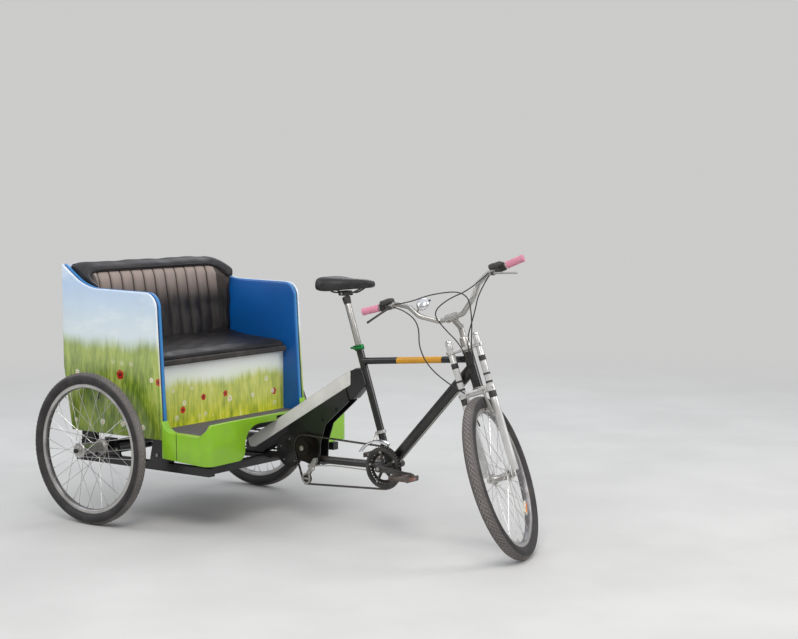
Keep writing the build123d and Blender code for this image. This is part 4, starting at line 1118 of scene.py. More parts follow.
@dataclass
class RoadWheel:
    """Spoked wheel with its tyre, rim, hub and spokes; local Z runs along the axle."""

    name: str
    body: str
    centre: Vector
    axle: Vector
    paint: Palette
    reach_up: float
    reach_down: float
    flange: float
    barrel: float
    replaces: tuple[str, str]
    rim_radius: float = 0.284
    rim_half: float = 0.013
    tyre_radius: float = 0.3306
    tyre_half: float = 0.0272
    spoke_radius: float = 0.0012
    blocks: int = 96
    reflector: bool = False
    place: Matrix = field(init=False)

    def __post_init__(self) -> None:
        """Set the wheel's place."""
        self.place = axes(self.centre, UP, self.axle)

    def ring(self, turn: float, radius: float, height: float) -> Vector:
        """Point by its angle in degrees, radius and place along the axle."""
        return self.place @ Vector((radius * cos(radians(turn)), radius * sin(radians(turn)), height))

    def make_tyre(self) -> None:
        """Tyre casing with its tread blocks."""
        rubber = TyreRubber(tuple(self.centre), tuple(self.axle)).make(f"{self.name}_rubber")
        form = Form(f"{self.name}_tyre")
        half = self.tyre_half
        side = [
            (0.28, 0.0095), (0.2845, 0.0128), (0.291, 0.0192), (0.2985, half * 0.92), (0.3065, half),
            (0.3145, half * 0.97), (0.321, half * 0.84), (0.3256, 0.0166), (0.329, 0.0094),
            (self.tyre_radius, 0.0),
        ]
        profile = [(radius, -half) for radius, half in side] + side[-2::-1]
        form.lathe(profile, self.place, rubber, sides=120, closed=True)
        first = form.count()
        pitch = 360 / self.blocks
        for row, (radius, height, lean, turn) in enumerate(
            (
                (0.3318, 0.0, 0.0, 0.0), (0.331, 0.0066, 10.0, 0.5), (0.3284, 0.0128, 26.0, 0.0),
                (0.324, 0.0184, 42.0, 0.5),
            )
        ):
            for sign in ((0,) if not row else (-1, 1)):
                angle = radians(turn * pitch)
                outward = Vector((cos(angle), sin(angle), 0))
                normal = outward * cos(radians(lean)) + Vector((0, 0, sign * sin(radians(lean))))
                middle = outward * radius + Vector((0, 0, sign * height))
                lean_way = Vector((-sin(angle), cos(angle), 0)) + Vector((0, 0, 0.35 * (sign or 1)))
                spot = axes(middle, lean_way, normal)
                form.block((0.0125, 0.0044, 0.004), self.place @ spot, rubber)
        form.repeat(first, self.blocks, self.place)
        form.build(self.body, (self.replaces[1],), "tyre")

    def make_wheel(self) -> None:
        """Rim, spokes, nipples, hub and valve."""
        paint, form = self.paint, Form(f"{self.name}_wheel")
        top, half = self.rim_radius, self.rim_half
        wall = [
            (top, half), (top, half - 0.0018), (top - 0.005, half - 0.0026), (top - 0.006, 0.008),
            (top - 0.009, 0.004),
        ]
        low = [
            (0.2658, 0.0), (0.266, 0.005), (0.2672, 0.0092), (0.2702, 0.0118), (0.2722, half),
            (0.279, half + 0.0002),
        ]
        profile = wall + [(radius, -height) for radius, height in wall[::-1]]
        profile += [(radius, -height) for radius, height in low[:2:-1]] + low[3:]
        form.lathe(profile, self.place, paint.rim, sides=120, closed=True)
        # The bed facing the hub is finished in the darker copy of the rim alloy, a painted shade.
        bed = [(radius, -height) for radius, height in low[3::-1]] + low[1:4]
        form.lathe(bed + [(0.272, 0.008), (0.272, -0.008)], self.place, paint.rim_bed, sides=120, closed=True)
        first = form.count()
        plan = ((0, 65, 1), (20, -35, 1), (10, 75, -1), (30, -25, -1))
        for hub_turn, rim_turn, facing in plan:
            reach = (self.reach_up if facing > 0 else -self.reach_down) - facing * 0.012
            skew = 0.0024 if rim_turn > 0 else -0.0024
            head = self.ring(hub_turn, self.flange - 0.0045, reach + skew)
            foot = self.ring(rim_turn, 0.2665, facing * 0.003)
            form.rod(head, foot, self.spoke_radius, paint.spoke, sides=6)
            way = (head - foot).normalized()
            form.rod(foot - way * 0.001, foot + way * 0.013, 0.0023, paint.alloy, end_radius=0.0019, sides=8)
            form.rod(head - way * 0.002, head + way * 0.002, 0.0024, paint.spoke, sides=8)
        form.repeat(first, 9, self.place)
        up, down, flange, barrel = self.reach_up - 0.012, -self.reach_down + 0.012, self.flange, self.barrel
        hub = [
            (barrel * 0.62, -self.reach_down), (barrel * 0.8, -self.reach_down + 0.002),
            (barrel * 0.82, down - 0.005), (flange - 0.002, down - 0.0028), (flange, down),
            (flange - 0.002, down + 0.0028), (barrel + 0.006, down + 0.004), (barrel, down + 0.012),
            (barrel * 0.92, 0.0), (barrel, up - 0.012), (barrel + 0.006, up - 0.004),
            (flange - 0.002, up - 0.0028), (flange, up), (flange - 0.002, up + 0.0028),
            (barrel * 0.82, up + 0.005), (barrel * 0.8, self.reach_up - 0.002),
            (barrel * 0.62, self.reach_up),
        ]
        form.lathe([(0.0, hub[0][1])] + hub + [(0.0, hub[-1][1])], self.place, paint.alloy, sides=48)
        for end, facing in ((self.reach_up, 1), (-self.reach_down, -1)):
            nut = self.place @ Matrix.Translation((0, 0, end + facing * 0.0005))
            form.rod(
                nut.translation, nut @ Vector((0, 0, facing * 0.0032)), barrel * 0.5, paint.steel, sides=24,
                rounding=0.0008,
            )
        stem = self.ring(15.0, 0.266, 0.0)
        way = (self.centre - stem).normalized()
        form.rod(stem, stem + way * 0.022, 0.003, paint.plastic, sides=10)
        form.rod(
            stem + way * 0.022, stem + way * 0.036, 0.0037, paint.plastic, end_radius=0.003, sides=10,
            rounding=0.0006,
        )
        if self.reflector:
            middle = self.ring(-140.0, 0.205, 0.016)
            spot = axes(middle, self.ring(-50.0, 1.0, 0.016) - self.ring(-50.0, 0.0, 0.016), self.axle)
            form.block((0.062, 0.026, 0.01), spot, paint.clear_lens, rounding=0.003)
            form.block((0.05, 0.018, 0.012), spot, paint.amber_lens, rounding=0.002)
        form.build(self.body, (self.replaces[0],), "rim")

    def make(self) -> None:
        """Build the whole wheel."""
        self.make_tyre()
        self.make_wheel()


@dataclass
class Tub:
    """Passenger body: printed side walls with blue linings, back, apron, riser, floor, mat and lamps."""

    paint: Palette
    half_width: float = 0.48
    inner: float = 0.44
    skin: float = 0.0135
    seal: float = 0.003
    front: float = 0.632
    side_back: float = 0.368
    corner: float = 0.048
    wall: float = 0.022
    floor_top: float = 0.41
    floor_wall: float = 0.014
    mat_wall: float = 0.0072
    recess_half: float = 0.235
    outline: tuple[Pair, ...] = (
        (-0.237, 1.132), (-0.088, 1.031), (0.338, 1.021), (0.366, 0.472), (0.366, 0.392), (-0.19, 0.392),
        (-0.237, 0.68),
    )
    bends: tuple[tuple[int, float], ...] = ((1, 0.245), (2, 0.066), (6, 0.05))

    def make_walls(self) -> None:
        """Side walls in their three layers."""
        outline, bends = list(self.outline), dict(self.bends)
        for side in Side:
            name = side.name.lower()
            form = Form(f"wall_{name}")
            seam = self.half_width - self.skin
            lining = seam - self.seal
            for faces, wall, material, rounding, inset in (
                ((seam, self.half_width), self.skin, self.paint.wall, 0.0065, 0.0),
                ((lining, seam), self.seal, self.paint.seal, 0.0, 0.003),
                ((self.inner, lining), lining - self.inner, self.paint.blue, 0.009, 0.0),
            ):
                near = min(side.value * faces[0], side.value * faces[1])
                place = upright(near + wall)
                form.plate(
                    outline, place, wall, material, corners=bends, rounding=rounding, inset=inset, steps=12
                )
            form.build("root", (f"side_wall_{name}",), "green_wall")

    def make_back(self) -> None:
        """Back panel with its crease and a row of fixings."""
        form = Form("back_skin")
        outline = [
            (-0.237, 1.126), (-0.217, 1.126), (-0.217, 0.68), (-0.17, 0.392), (-0.19, 0.392), (-0.237, 0.68),
        ]
        form.plate(outline, upright(self.inner), 2 * self.inner, self.paint.back, rounding=0.004)
        for number in range(7):
            spot = at(-0.1905 - 0.0012, -0.39 + number * 0.13, 0.405)
            form.rod(spot, spot - Vector((0.003, 0, 0)), 0.007, self.paint.alloy, sides=16, rounding=0.001)
        form.build("root", ("back_panel",), "green_wall")

    def apron_path(self, run: float, depth: float) -> Vector:
        """Place of a point of the apron's flat pattern.

        Args:
            run: distance from the middle along its outside, to the left.
            depth: share of the wall's thickness inwards.

        Returns:
            The point in plan, as (x, y, 0).
        """
        front, corner, side = self.front, self.corner, self.half_width
        straight, arc = side - corner, corner * pi / 2
        reach, sign = abs(run), 1 if run >= 0 else -1
        if reach <= straight:
            spot, normal, share = Vector((front, reach)), Vector((1, 0)), 0.0
        elif reach <= straight + arc:
            share = (reach - straight) / arc
            angle = share * pi / 2
            normal = Vector((cos(angle), sin(angle)))
            spot = Vector((front - corner, straight)) + normal * corner
        else:
            share = 1.0
            spot, normal = Vector((front - corner - (reach - straight - arc), side)), Vector((0, 1))
        wall = self.wall + 0.018 * share
        spot = spot - normal * wall * depth
        return Vector((REAR_AXLE_X + spot.x, spot.y * sign, 0))

    def make_apron(self) -> None:
        """Apron moulding, cut flat and bent round the front of the footwell."""
        form = Form("apron_moulding")
        straight, arc = self.half_width - self.corner, self.corner * pi / 2
        side_end = straight + arc + self.front - self.corner - self.side_back
        half = [
            (0.245, 0.303), (0.47, 0.301), (side_end, 0.316), (side_end, 0.474), (side_end - 0.013, 0.444),
            (side_end - 0.046, 0.427), (0.512, 0.424), (0.448, 0.474),
        ]
        right = [(-run, height) for run, height in half[::-1]]
        outline = right + [
            (-0.245, 0.449), (-0.036, 0.449), (-0.036, 0.466), (0.036, 0.466), (0.036, 0.449),
            (0.245, 0.449),
        ]
        outline += half
        bends = {len(right): 0.089, len(right) + 5: 0.089, len(right) - 1: 0.042, len(right) + 6: 0.042}
        step_bends = {half[5][0]: 0.035, half[6][0]: 0.03, half[7][0]: 0.03}
        for number, (run, _) in enumerate(outline):
            if abs(run) in step_bends:
                bends[number] = step_bends[abs(run)]
        shape = flat_outline(outline, bends, 8)
        for run in [straight + arc * step / 10 for step in range(11)] + [0.33, 0.39]:
            for sign in (-1, 1):
                geom = shape.verts[:] + shape.edges[:] + shape.faces[:]
                bmesh.ops.bisect_plane(
                    shape, geom=geom, plane_co=(sign * run, 0, 0), plane_no=(1, 0, 0), dist=1e-6
                )
        thicken(shape, self.wall)
        rims = [edge for edge in shape.edges if edge.is_manifold and round_rim(edge)]
        soften(shape, rims, 0.008, 4, clamp=True)
        for vert in shape.verts:
            spot = self.apron_path(vert.co.x, vert.co.z / self.wall)
            crown = 0.008 * (1 - min(1.0, (vert.co.x / 0.47) ** 2)) * max(0.0, (vert.co.y - 0.45) / 0.036)
            vert.co = Vector((spot.x, spot.y, vert.co.y + crown))
        form.add(shape, self.paint.lime)
        for side in Side:
            strip = [(0.4508, 0.317), (0.4532, 0.317), (0.4532, 0.431), (0.4508, 0.431)]
            form.plate(
                strip, upright(side.value * (self.half_width + 0.0004) + 0.0006), 0.0012, self.paint.seal
            )
        form.build("root", ("apron",), "apron_green")

    def make_floor(self) -> None:
        """Ribbed mat that climbs over the beam's recess, and the riser and deck in their finishes."""
        form = Form("ribbed_mat")
        front, edge, notch, half = 0.607, self.inner - 0.003, 0.497, self.recess_half + 0.001
        low = self.floor_top + 0.0002
        high = low + self.mat_wall
        outline = [
            (0.27, -edge), (front, -edge), (front, -half), (notch, -half), (notch, half), (front, half),
            (front, edge), (0.27, edge),
        ]
        form.plate(outline, level(low), self.mat_wall, self.paint.mat, corners={1: 0.024, 6: 0.024})
        ramp = [(notch, low), (front, 0.463), (front - 0.003, 0.47), (notch, high)]
        form.plate(ramp, upright(half), 2 * half, self.paint.mat)
        climb = atan2(0.0528, front - notch)
        for number in range(40):
            ahead = 0.276 + number * 0.0083
            trim = 0.0 if ahead < 0.586 else 0.012
            spans = [(-edge + trim, edge - trim)]
            if ahead > notch - 0.004:
                spans = [(-edge + trim, -half - 0.001), (half + 0.001, edge - trim)]
                lift = 0.418 + (ahead - notch) * tan(climb)
                slope = Vector((cos(climb), 0, sin(climb)))
                place = axes(at(ahead, 0, lift), slope, Vector((-slope.z, 0, slope.x)))
                form.block((0.0042, 2 * half - 0.004, 0.003), place, self.paint.mat)
            for right, left in spans:
                middle = at(ahead, (right + left) / 2, 0.4185)
                form.block((0.0042, left - right - 0.004, 0.003), Matrix.Translation(middle), self.paint.mat)
        form.build("root", ("footwell_mat",), "mat")
        dress("seat_riser", self.paint.riser)
        dress("seat_deck", self.paint.wood)

    def make_shell(self) -> None:
        """Floor shell with the recess that the beam passes through."""
        form = Form("footwell_shell")
        back, front, notch, half = -0.17, 0.61, 0.49, self.recess_half
        outline = [
            (back, -self.inner), (front, -self.inner), (front, -half), (notch, -half), (notch, half),
            (front, half), (front, self.inner), (back, self.inner),
        ]
        low, top = self.floor_top - self.floor_wall, self.floor_top
        form.plate(outline, level(low), self.floor_wall, self.paint.shell, corners={1: 0.026, 6: 0.026})
        roof = [(notch - 0.002, low), (0.612, 0.457), (0.612, 0.4642), (0.498, top), (notch - 0.002, top)]
        form.plate(roof, upright(half + 0.004), 2 * half + 0.008, self.paint.shell)
        cheek = [(notch, 0.398), (0.611, 0.398), (0.611, 0.46), (notch + 0.004, 0.4)]
        for side in Side:
            form.plate(cheek, upright(side.value * half + 0.002), 0.004, self.paint.shell)
        form.build("root", ("tub_floor",), "floor")

    def make_lamps(self) -> None:
        """Round tail lamps on the sloping foot of the back."""
        form = Form("tail_lamp_pair")
        slope = Vector((-0.288, 0, -0.047)).normalized()
        for side in Side:
            base = at(-0.2027, side.value * 0.38, 0.47)
            place = axes(base, LEFT, slope)
            form.lathe(
                [(0.0, 0.0), (0.032, 0.0), (0.032, 0.008), (0.03, 0.0095), (0.0, 0.0095)], place,
                self.paint.plastic,
            )
            lens = [(0.0285, 0.009), (0.0285, 0.015), (0.024, 0.0192), (0.013, 0.0212), (0.0, 0.0218)]
            form.lathe([(0.0, 0.009)] + lens, place, self.paint.red_lens)
        form.build("root", ("tail_lamps",), "lamp_red")

    def make(self) -> None:
        """Build the passenger body."""
        self.make_walls()
        self.make_back()
        self.make_apron()
        self.make_floor()
        self.make_shell()
        self.make_lamps()


def settle(piece: bpy.types.Object, voxel: float, cap: float) -> None:
    """Swell a cushion with a short cloth run, and keep each point near where it started.

    Args:
        piece: the cushion, changed in place.
        voxel: size of the new mesh's cells.
        cap: farthest that a point may move.
    """
    remesh = piece.modifiers.new("remesh", "REMESH")
    remesh.mode = "VOXEL"
    remesh.voxel_size = voxel
    bake_down(piece)
    start = [vert.co.copy() for vert in piece.data.vertices]
    cloth = piece.modifiers.new("cloth", "CLOTH")
    cloth.settings.use_pressure = True
    cloth.settings.uniform_pressure_force = CLOTH_PRESSURE
    cloth.settings.effector_weights.gravity = 0.0
    cloth.settings.quality = 4
    cloth.point_cache.frame_start = 1
    cloth.point_cache.frame_end = CLOTH_FRAMES
    for number in range(1, CLOTH_FRAMES + 1):
        bpy.context.scene.frame_set(number)
    bake_down(piece)
    bpy.context.scene.frame_set(1)
    for vert, place in zip(piece.data.vertices, start):
        shift = vert.co - place
        if shift.length > cap:
            vert.co = place + shift * (cap / shift.length)


def bake_down(piece: bpy.types.Object) -> None:
    """Apply a piece's modifiers to its mesh."""
    shaped = piece.evaluated_get(bpy.context.evaluated_depsgraph_get())
    mesh = bpy.data.meshes.new_from_object(shaped)
    old = piece.data
    piece.modifiers.clear()
    piece.data = mesh
    bpy.data.meshes.remove(old)


def loose_piece(name: str, shape: bmesh.types.BMesh, material: bpy.types.Material) -> bpy.types.Object:
    """Object of a shape, not yet hung on a body."""
    bmesh.ops.recalc_face_normals(shape, faces=shape.faces)
    mesh = bpy.data.meshes.new(name)
    shape.to_mesh(mesh)
    shape.free()
    mesh.materials.append(material)
    piece = bpy.data.objects.new(name, mesh)
    bpy.context.scene.collection.objects.link(piece)
    return piece


def refine(piece: bpy.types.Object, levels: int = 1) -> None:
    """Subdivide a piece smoothly and smooth its shading."""
    finer = piece.modifiers.new("finer", "SUBSURF")
    finer.levels = finer.render_levels = levels
    bake_down(piece)
    for face in piece.data.polygons:
        face.use_smooth = True


@dataclass
class Upholstery:
    """Bench cushion, pleated back with wings, and the padded roll over its top."""

    paint: Palette
    half: float = 0.4385
    deck: float = 0.706
    cushion_front: float = 0.301
    cushion_back: float = -0.15
    back_x: float = -0.2165
    pleat: float = 0.07
    wing_x: float = -0.052
    seam_top: float = 1.098

    def back_plan(self, foot: float, height: float, draw: float = 0.0) -> list[Vector]:
        """Plan outline of the seat back at a height, drawn in by a distance.

        Args:
            foot: how far ahead its middle stands.
            height: height of the outline.
            draw: distance that it is drawn in.

        Returns:
            Its corners.
        """
        half, shift = self.half - draw, self.wing_x - foot
        front = foot - draw
        plan = [
            (self.back_x + draw, -half), (self.wing_x - draw, -half),
            (self.wing_x - draw * 0.4, -half + 0.014), (front + shift * 0.66, -half + 0.028),
            (front + shift * 0.26, -half + 0.046), (front + shift * 0.06, -half + 0.066),
            (front, -half + 0.092),
        ]
        corners = plan + [(x, -y) for x, y in plan[::-1]]
        return [at(x, y, height) for x, y in corners]

    def make_back(self) -> None:
        """Pleated back: swollen as a soft body, then sewn into channels."""
        levels = (
            (self.deck + 0.006, -0.097, 0.01), (0.76, -0.095, 0.0), (0.93, -0.117, 0.0),
            (self.seam_top, -0.139, 0.004),
        )
        shape = lofted([self.back_plan(foot, height, draw) for height, foot, draw in levels])
        for vert in shape.verts:
            if vert.co.z > self.seam_top - 0.01:
                fall = 0.062 if vert.co.y < 0 else 0.036
                vert.co.z -= fall * max(0.0, (vert.co.x - REAR_AXLE_X + 0.139) / 0.087)
        piece = loose_piece("pleated_back", shape, self.paint.pleated)
        settle(piece, 0.007, 0.007)
        refine(piece)
        span = self.pleat
        random = Random(7)
        slack = {number: random.uniform(0.5, 1.5) for number in range(-8, 9)}
        normals = [vert.normal.copy() for vert in piece.data.vertices]
        for vert, normal in zip(piece.data.vertices, normals):
            x, y, z = vert.co
            ahead = x - REAR_AXLE_X
            facing = normal.x
            if facing > 0.15 and abs(y) < 0.4:
                number = round(y / span)
                offset = y - number * span
                seam = min(1.0, max(0.0, (z - self.deck) / 0.05)) * min(1.0, facing * 2)
                groove = 0.01 * exp(-(offset / 0.006) ** 2)
                crown = 0.0055 * (1 - (1 - abs(offset) / (span / 2)) ** 2) - 0.002
                vert.co.x += (crown - groove) * seam
                puff = sin(z * (40 + 12 * slack[number]) + number * 2.1) * (1 - exp(-(offset / 0.012) ** 2))
                vert.co.x += 0.001 * slack[number] * puff * seam
            elif abs(y) >= 0.4 and facing > -0.2:
                vert.co.x += sin(z * 62 + ahead * 88) * 0.0022 * max(0.0, facing)
            vert.co.y = max(-self.half, min(self.half, vert.co.y))
            vert.co.x = max(vert.co.x, REAR_AXLE_X + self.back_x)
        hang(piece, "root", ("seat_back",))

    def cushion_section(self, side: float, draw: float) -> list[Vector]:
        """Upright outline of the bench cushion at a side, drawn in by a distance.

        Args:
            side: distance to the left of the middle.
            draw: distance that it is drawn in.

        Returns:
            Its corners.
        """
        front, back, sink = self.cushion_front, self.cushion_back, draw * 0.4
        points = [
            (back + draw, 0.709), (front - 0.01 - draw, 0.709), (front - draw, 0.716),
            (front + 0.001 - draw, 0.73), (front - 0.006 - draw, 0.74 - draw * 0.3),
            (front - 0.03, 0.744 - sink), (0.16, 0.753 - sink), (0.03, 0.762 - sink), (-0.09, 0.77 - sink),
            (back + draw, 0.772 - sink),
        ]
        return [at(x, side, z) for x, z in points]

    def make_cushion(self) -> None:
        """Bench cushion, crowned, with a sewn front edge."""
        half = self.half - 0.004
        ends = [(half, 0.012), (half - 0.006, 0.004), (half - 0.02, 0.0)]
        sides = [(-side, draw) for side, draw in ends] + [(-0.2, 0.0), (0.0, 0.0), (0.2, 0.0)] + ends[::-1]
        shape = lofted([self.cushion_section(side, draw) for side, draw in sides])
        piece = loose_piece("bench_cushion", shape, self.paint.vinyl)
        settle(piece, 0.008, 0.009)
        refine(piece)
        for vert in piece.data.vertices:
            x, y, z = vert.co
            ahead = x - REAR_AXLE_X
            if z > 0.72:
                rear = max(0.0, 0.1 - ahead) / 0.25
                flank = max(0.0, (abs(y) - 0.3) / 0.14)
                vert.co.z += 0.03 * min(1.0, rear) * flank ** 1.6 * (z - 0.72) / 0.04
                vert.co.z += 0.0013 * sin(ahead * 70 + y * 9) * sin(y * 31 + ahead * 12)
            vert.co.z = max(vert.co.z, self.deck + 0.0005)
            vert.co.y = max(-self.half, min(self.half, vert.co.y))
        hang(piece, "root", ("seat_cushion",))
        form = Form("cushion_piping")
        lip = Matrix.Translation(at(0.299, 0, 0.7095))
        form.block((0.011, 2 * half - 0.016, 0.025), lip, self.paint.lip, rounding=0.005, segments=4)
        form.build("root", slot="vinyl")

    def roll_section(self, inner: Vector, outer: Vector, drop: float, puff: float) -> list[Vector]:
        """Closed section of the top roll between its two seams.

        Args:
            inner: the seam towards the seat.
            outer: the seam towards the outside.
            drop: how far its underside hangs below the seams.
            puff: how full it is.

        Returns:
            Its corners.
        """
        rise = UP * puff
        loop = []
        for share, lift in (
            (0.0, 0.0), (0.04, 0.011), (0.16, 0.02), (0.34, 0.0245), (0.54, 0.0225), (0.74, 0.017),
            (0.9, 0.011), (1.0, 0.0),
        ):
            loop.append(inner.lerp(outer, share) + rise * lift)
        loop += [outer - UP * drop, inner - UP * (drop * 0.8)]
        return loop

    def make_roll(self) -> None:
        """Padded roll over the top, which sweeps down along both wings."""
        left = [
            ((-0.04, 0.405, 1.052), (-0.04, 0.456, 1.056), 0.026, 1.0),
            ((-0.064, 0.404, 1.066), (-0.068, 0.456, 1.074), 0.028, 1.0),
            ((-0.1, 0.401, 1.083), (-0.12, 0.456, 1.098), 0.03, 1.0),
            ((-0.126, 0.39, 1.094), (-0.184, 0.456, 1.117), 0.028, 1.0),
            ((-0.139, 0.366, 1.099), (-0.25, 0.456, 1.124), 0.022, 1.0),
        ]
        middle = [
            ((-0.142, side, 1.102), (-0.249, side, 1.124), 0.022, 1.0)
            for side in (0.34, 0.17, 0.0, -0.17, -0.34)
        ]
        right = [
            ((-0.139, -0.386, 1.095), (-0.25, -0.456, 1.124), 0.022, 0.9),
            ((-0.128, -0.408, 1.078), (-0.19, -0.456, 1.104), 0.026, 0.7),
            ((-0.106, -0.417, 1.058), (-0.13, -0.456, 1.064), 0.026, 0.5),
            ((-0.078, -0.422, 1.042), (-0.084, -0.456, 1.043), 0.022, 0.4),
            ((-0.05, -0.426, 1.032), (-0.052, -0.456, 1.031), 0.016, 0.3),
        ]
        whole = left + middle + right
        sections = [
            self.roll_section(at(*inner), at(*outer), drop, puff) for inner, outer, drop, puff in whole
        ]
        piece = loose_piece("top_roll", lofted(sections), self.paint.roll)
        refine(piece, 3)
        normals = [vert.normal.copy() for vert in piece.data.vertices]
        for vert, normal in zip(piece.data.vertices, normals):
            _, y, z = vert.co
            crumple = sin(y * 47) * 0.0012 + sin(y * 21 + z * 30) * 0.0014
            vert.co.z += crumple * max(0.0, normal.z)
            vert.co.z = min(vert.co.z, 1.1475)
            vert.co.x = max(vert.co.x, REAR_AXLE_X - 0.24)
            vert.co.y = max(-self.half, min(self.half, vert.co.y))
        hang(piece, "root", ("back_roll",))
        form = Form("roll_snaps_and_piping")
        seam = [at(*inner) + Vector((0.002, 0, 0.001)) for inner, _, _, _ in whole[1:-2]]
        form.tube(seam, 0.0032, self.paint.piping)
        snap = [(0.0, 0.0035), (0.0045, 0.003), (0.0062, 0.0012), (0.0066, 0.0), (0.0, -0.002)]
        spots = [at(-0.228, side.value * 0.41, 1.131) for side in Side]
        spots += [at(-0.2315, number * 0.115, 1.1335) for number in range(-3, 4)]
        for spot in spots:
            form.lathe(snap, Matrix.Translation(spot), self.paint.chrome, sides=16)
        form.build("root", slot="vinyl")

    def make(self) -> None:
        """Build the upholstery."""
        self.make_back()
        self.make_cushion()
        self.make_roll()


@dataclass
class Chassis:
    """Ladder frame, posts, axle beam and differential under the passenger body."""

    paint: Palette

    def make(self) -> None:
        """Dress the kept nodes and add their fixings."""
        for node in ("ladder_frame", "axle_beam", "tub_mounts"):
            dress(node, self.paint.black)
        dress("differential", self.paint.steel)
        form = Form("chassis_bolts")
        for side in Side:
            for out, height, radius, places in (
                (0.4395, 0.005, 0.0085, (0.3, 0.345, -0.15, -0.115)), (0.427, 0.006, 0.0075, (-0.04, 0.04))
            ):
                for ahead in places:
                    spot = at(ahead, side.value * out, 0.318)
                    top = spot + LEFT * (side.value * height)
                    form.rod(spot, top, radius, self.paint.steel, sides=6, rounding=0.0008)
        for turn in range(6):
            angle = turn * pi / 3
            spot = at(0.031 * cos(angle), 0.1135, WHEEL_RADIUS + 0.031 * sin(angle))
            form.rod(spot, spot + LEFT * 0.004, 0.0045, self.paint.steel, sides=6)
        form.build("root", slot="steel")


@dataclass
class CycleFrame:
    """Rider's frame: tubes, main beam with its pale cover, and the drive's plates."""

    paint: Palette

    def make(self) -> None:
        """Dress the kept tubes and build the beam, its cover, the guard and the fittings."""
        dress("drive_plates", self.paint.black)
        for node in ("head_tube", "seat_tube", "down_tube", "lower_boom"):
            dress(node, self.paint.tubing)
        dress("top_tube", self.paint.banded)
        self.make_beam()
        self.make_cover()
        self.make_guard()
        self.make_fittings()

    def make_beam(self) -> None:
        """Welded box beam from under the footwell up to the seat tube."""
        form = Form("box_beam")
        outline = [
            (0.438, 0.329), (0.452, 0.351), (1.035, 0.693), (1.0604, 0.705), (1.0904, 0.705),
            (1.1122, 0.638), (1.098, 0.624), (1.046, 0.57), (1.015, 0.5703), (0.542, 0.2971),
            (0.446, 0.2971),
        ]
        place = upright(0.025)
        form.plate(outline, place, 0.05, self.paint.black, corners={7: 0.02, 8: 0.02}, rounding=0.003)
        form.build("root", ("main_beam",), "frame_black")

    def make_cover(self) -> None:
        """Pale cover clipped over the beam, open underneath."""
        form = Form("beam_cover_skin")
        foot, head = Vector((0.456, 0.3515)), Vector((1.035, 0.6965))
        low = [(0.465, 0.317), (0.497, 0.3175), (1.0345, 0.6328)]
        outline = [tuple(foot), tuple(head)] + low[::-1]
        for side in Side:
            near = side.value * 0.025 if side is Side.LEFT else -0.028
            place = upright(near + 0.003)
            form.plate(outline, place, 0.003, self.paint.cover, corners={3: 0.02, 4: 0.012}, rounding=0.0008)
        run = head - foot
        slope = Vector((run.x, 0, run.y)).normalized()
        lift = Vector((-slope.z, 0, slope.x))
        middle = at((foot.x + head.x) / 2, 0, (foot.y + head.y) / 2) - lift * 0.0015
        form.block((run.length, 0.056, 0.0032), axes(middle, slope, lift), self.paint.cover, rounding=0.0013)
        form.build("root", ("beam_cover",), "beam_cover")

    def make_guard(self) -> None:
        """Round chain guard on the near plate, with its rolled rim and bolts."""
        form = Form("chain_guard_disc")
        centre = at(0.7, -0.0302, 0.32)
        place = axes(centre, AHEAD, -LEFT)
        dish = [
            (0.0, 0.0), (0.07, 0.0), (0.072, 0.0008), (0.072, 0.002), (0.07, 0.0024), (0.0672, 0.0016),
            (0.04, 0.0014), (0.034, 0.0024), (0.0, 0.0024),
        ]
        form.lathe(dish, place, self.paint.black, sides=72)
        for number in range(5):
            angle = 2 * pi * number / 5 + 0.3
            spot = centre + Vector((0.052 * cos(angle), -0.0012, 0.052 * sin(angle)))
            form.rod(spot, spot - LEFT * 0.0012, 0.004, self.paint.steel, sides=6)
        form.build("root", slot="frame_black")

    def make_fittings(self) -> None:
        """Head cups and bolts."""
        form = Form("frame_fittings")
        radius = 0.0235
        for low, wall in ((0.7002, 0.706 - 0.7002), (0.853, 0.859 - 0.853)):
            place = STEERING @ Matrix.Translation((0, 0, low))
            cup = [(0.0215, 0), (radius, 0.0006), (radius, wall - 0.0006), (0.0215, wall)]
            form.lathe(cup, place, self.paint.steel, sides=40, closed=True)
        for spot in (at(0.745, -0.0305, 0.318), at(0.88, -0.0305, 0.47), at(0.955, -0.0305, 0.52)):
            form.rod(spot, spot - LEFT * 0.006, 0.0075, self.paint.black, sides=6, rounding=0.0008)
            form.rod(spot, spot - LEFT * 0.0015, 0.0105, self.paint.black, sides=20)
        form.build("root", slot="steel")


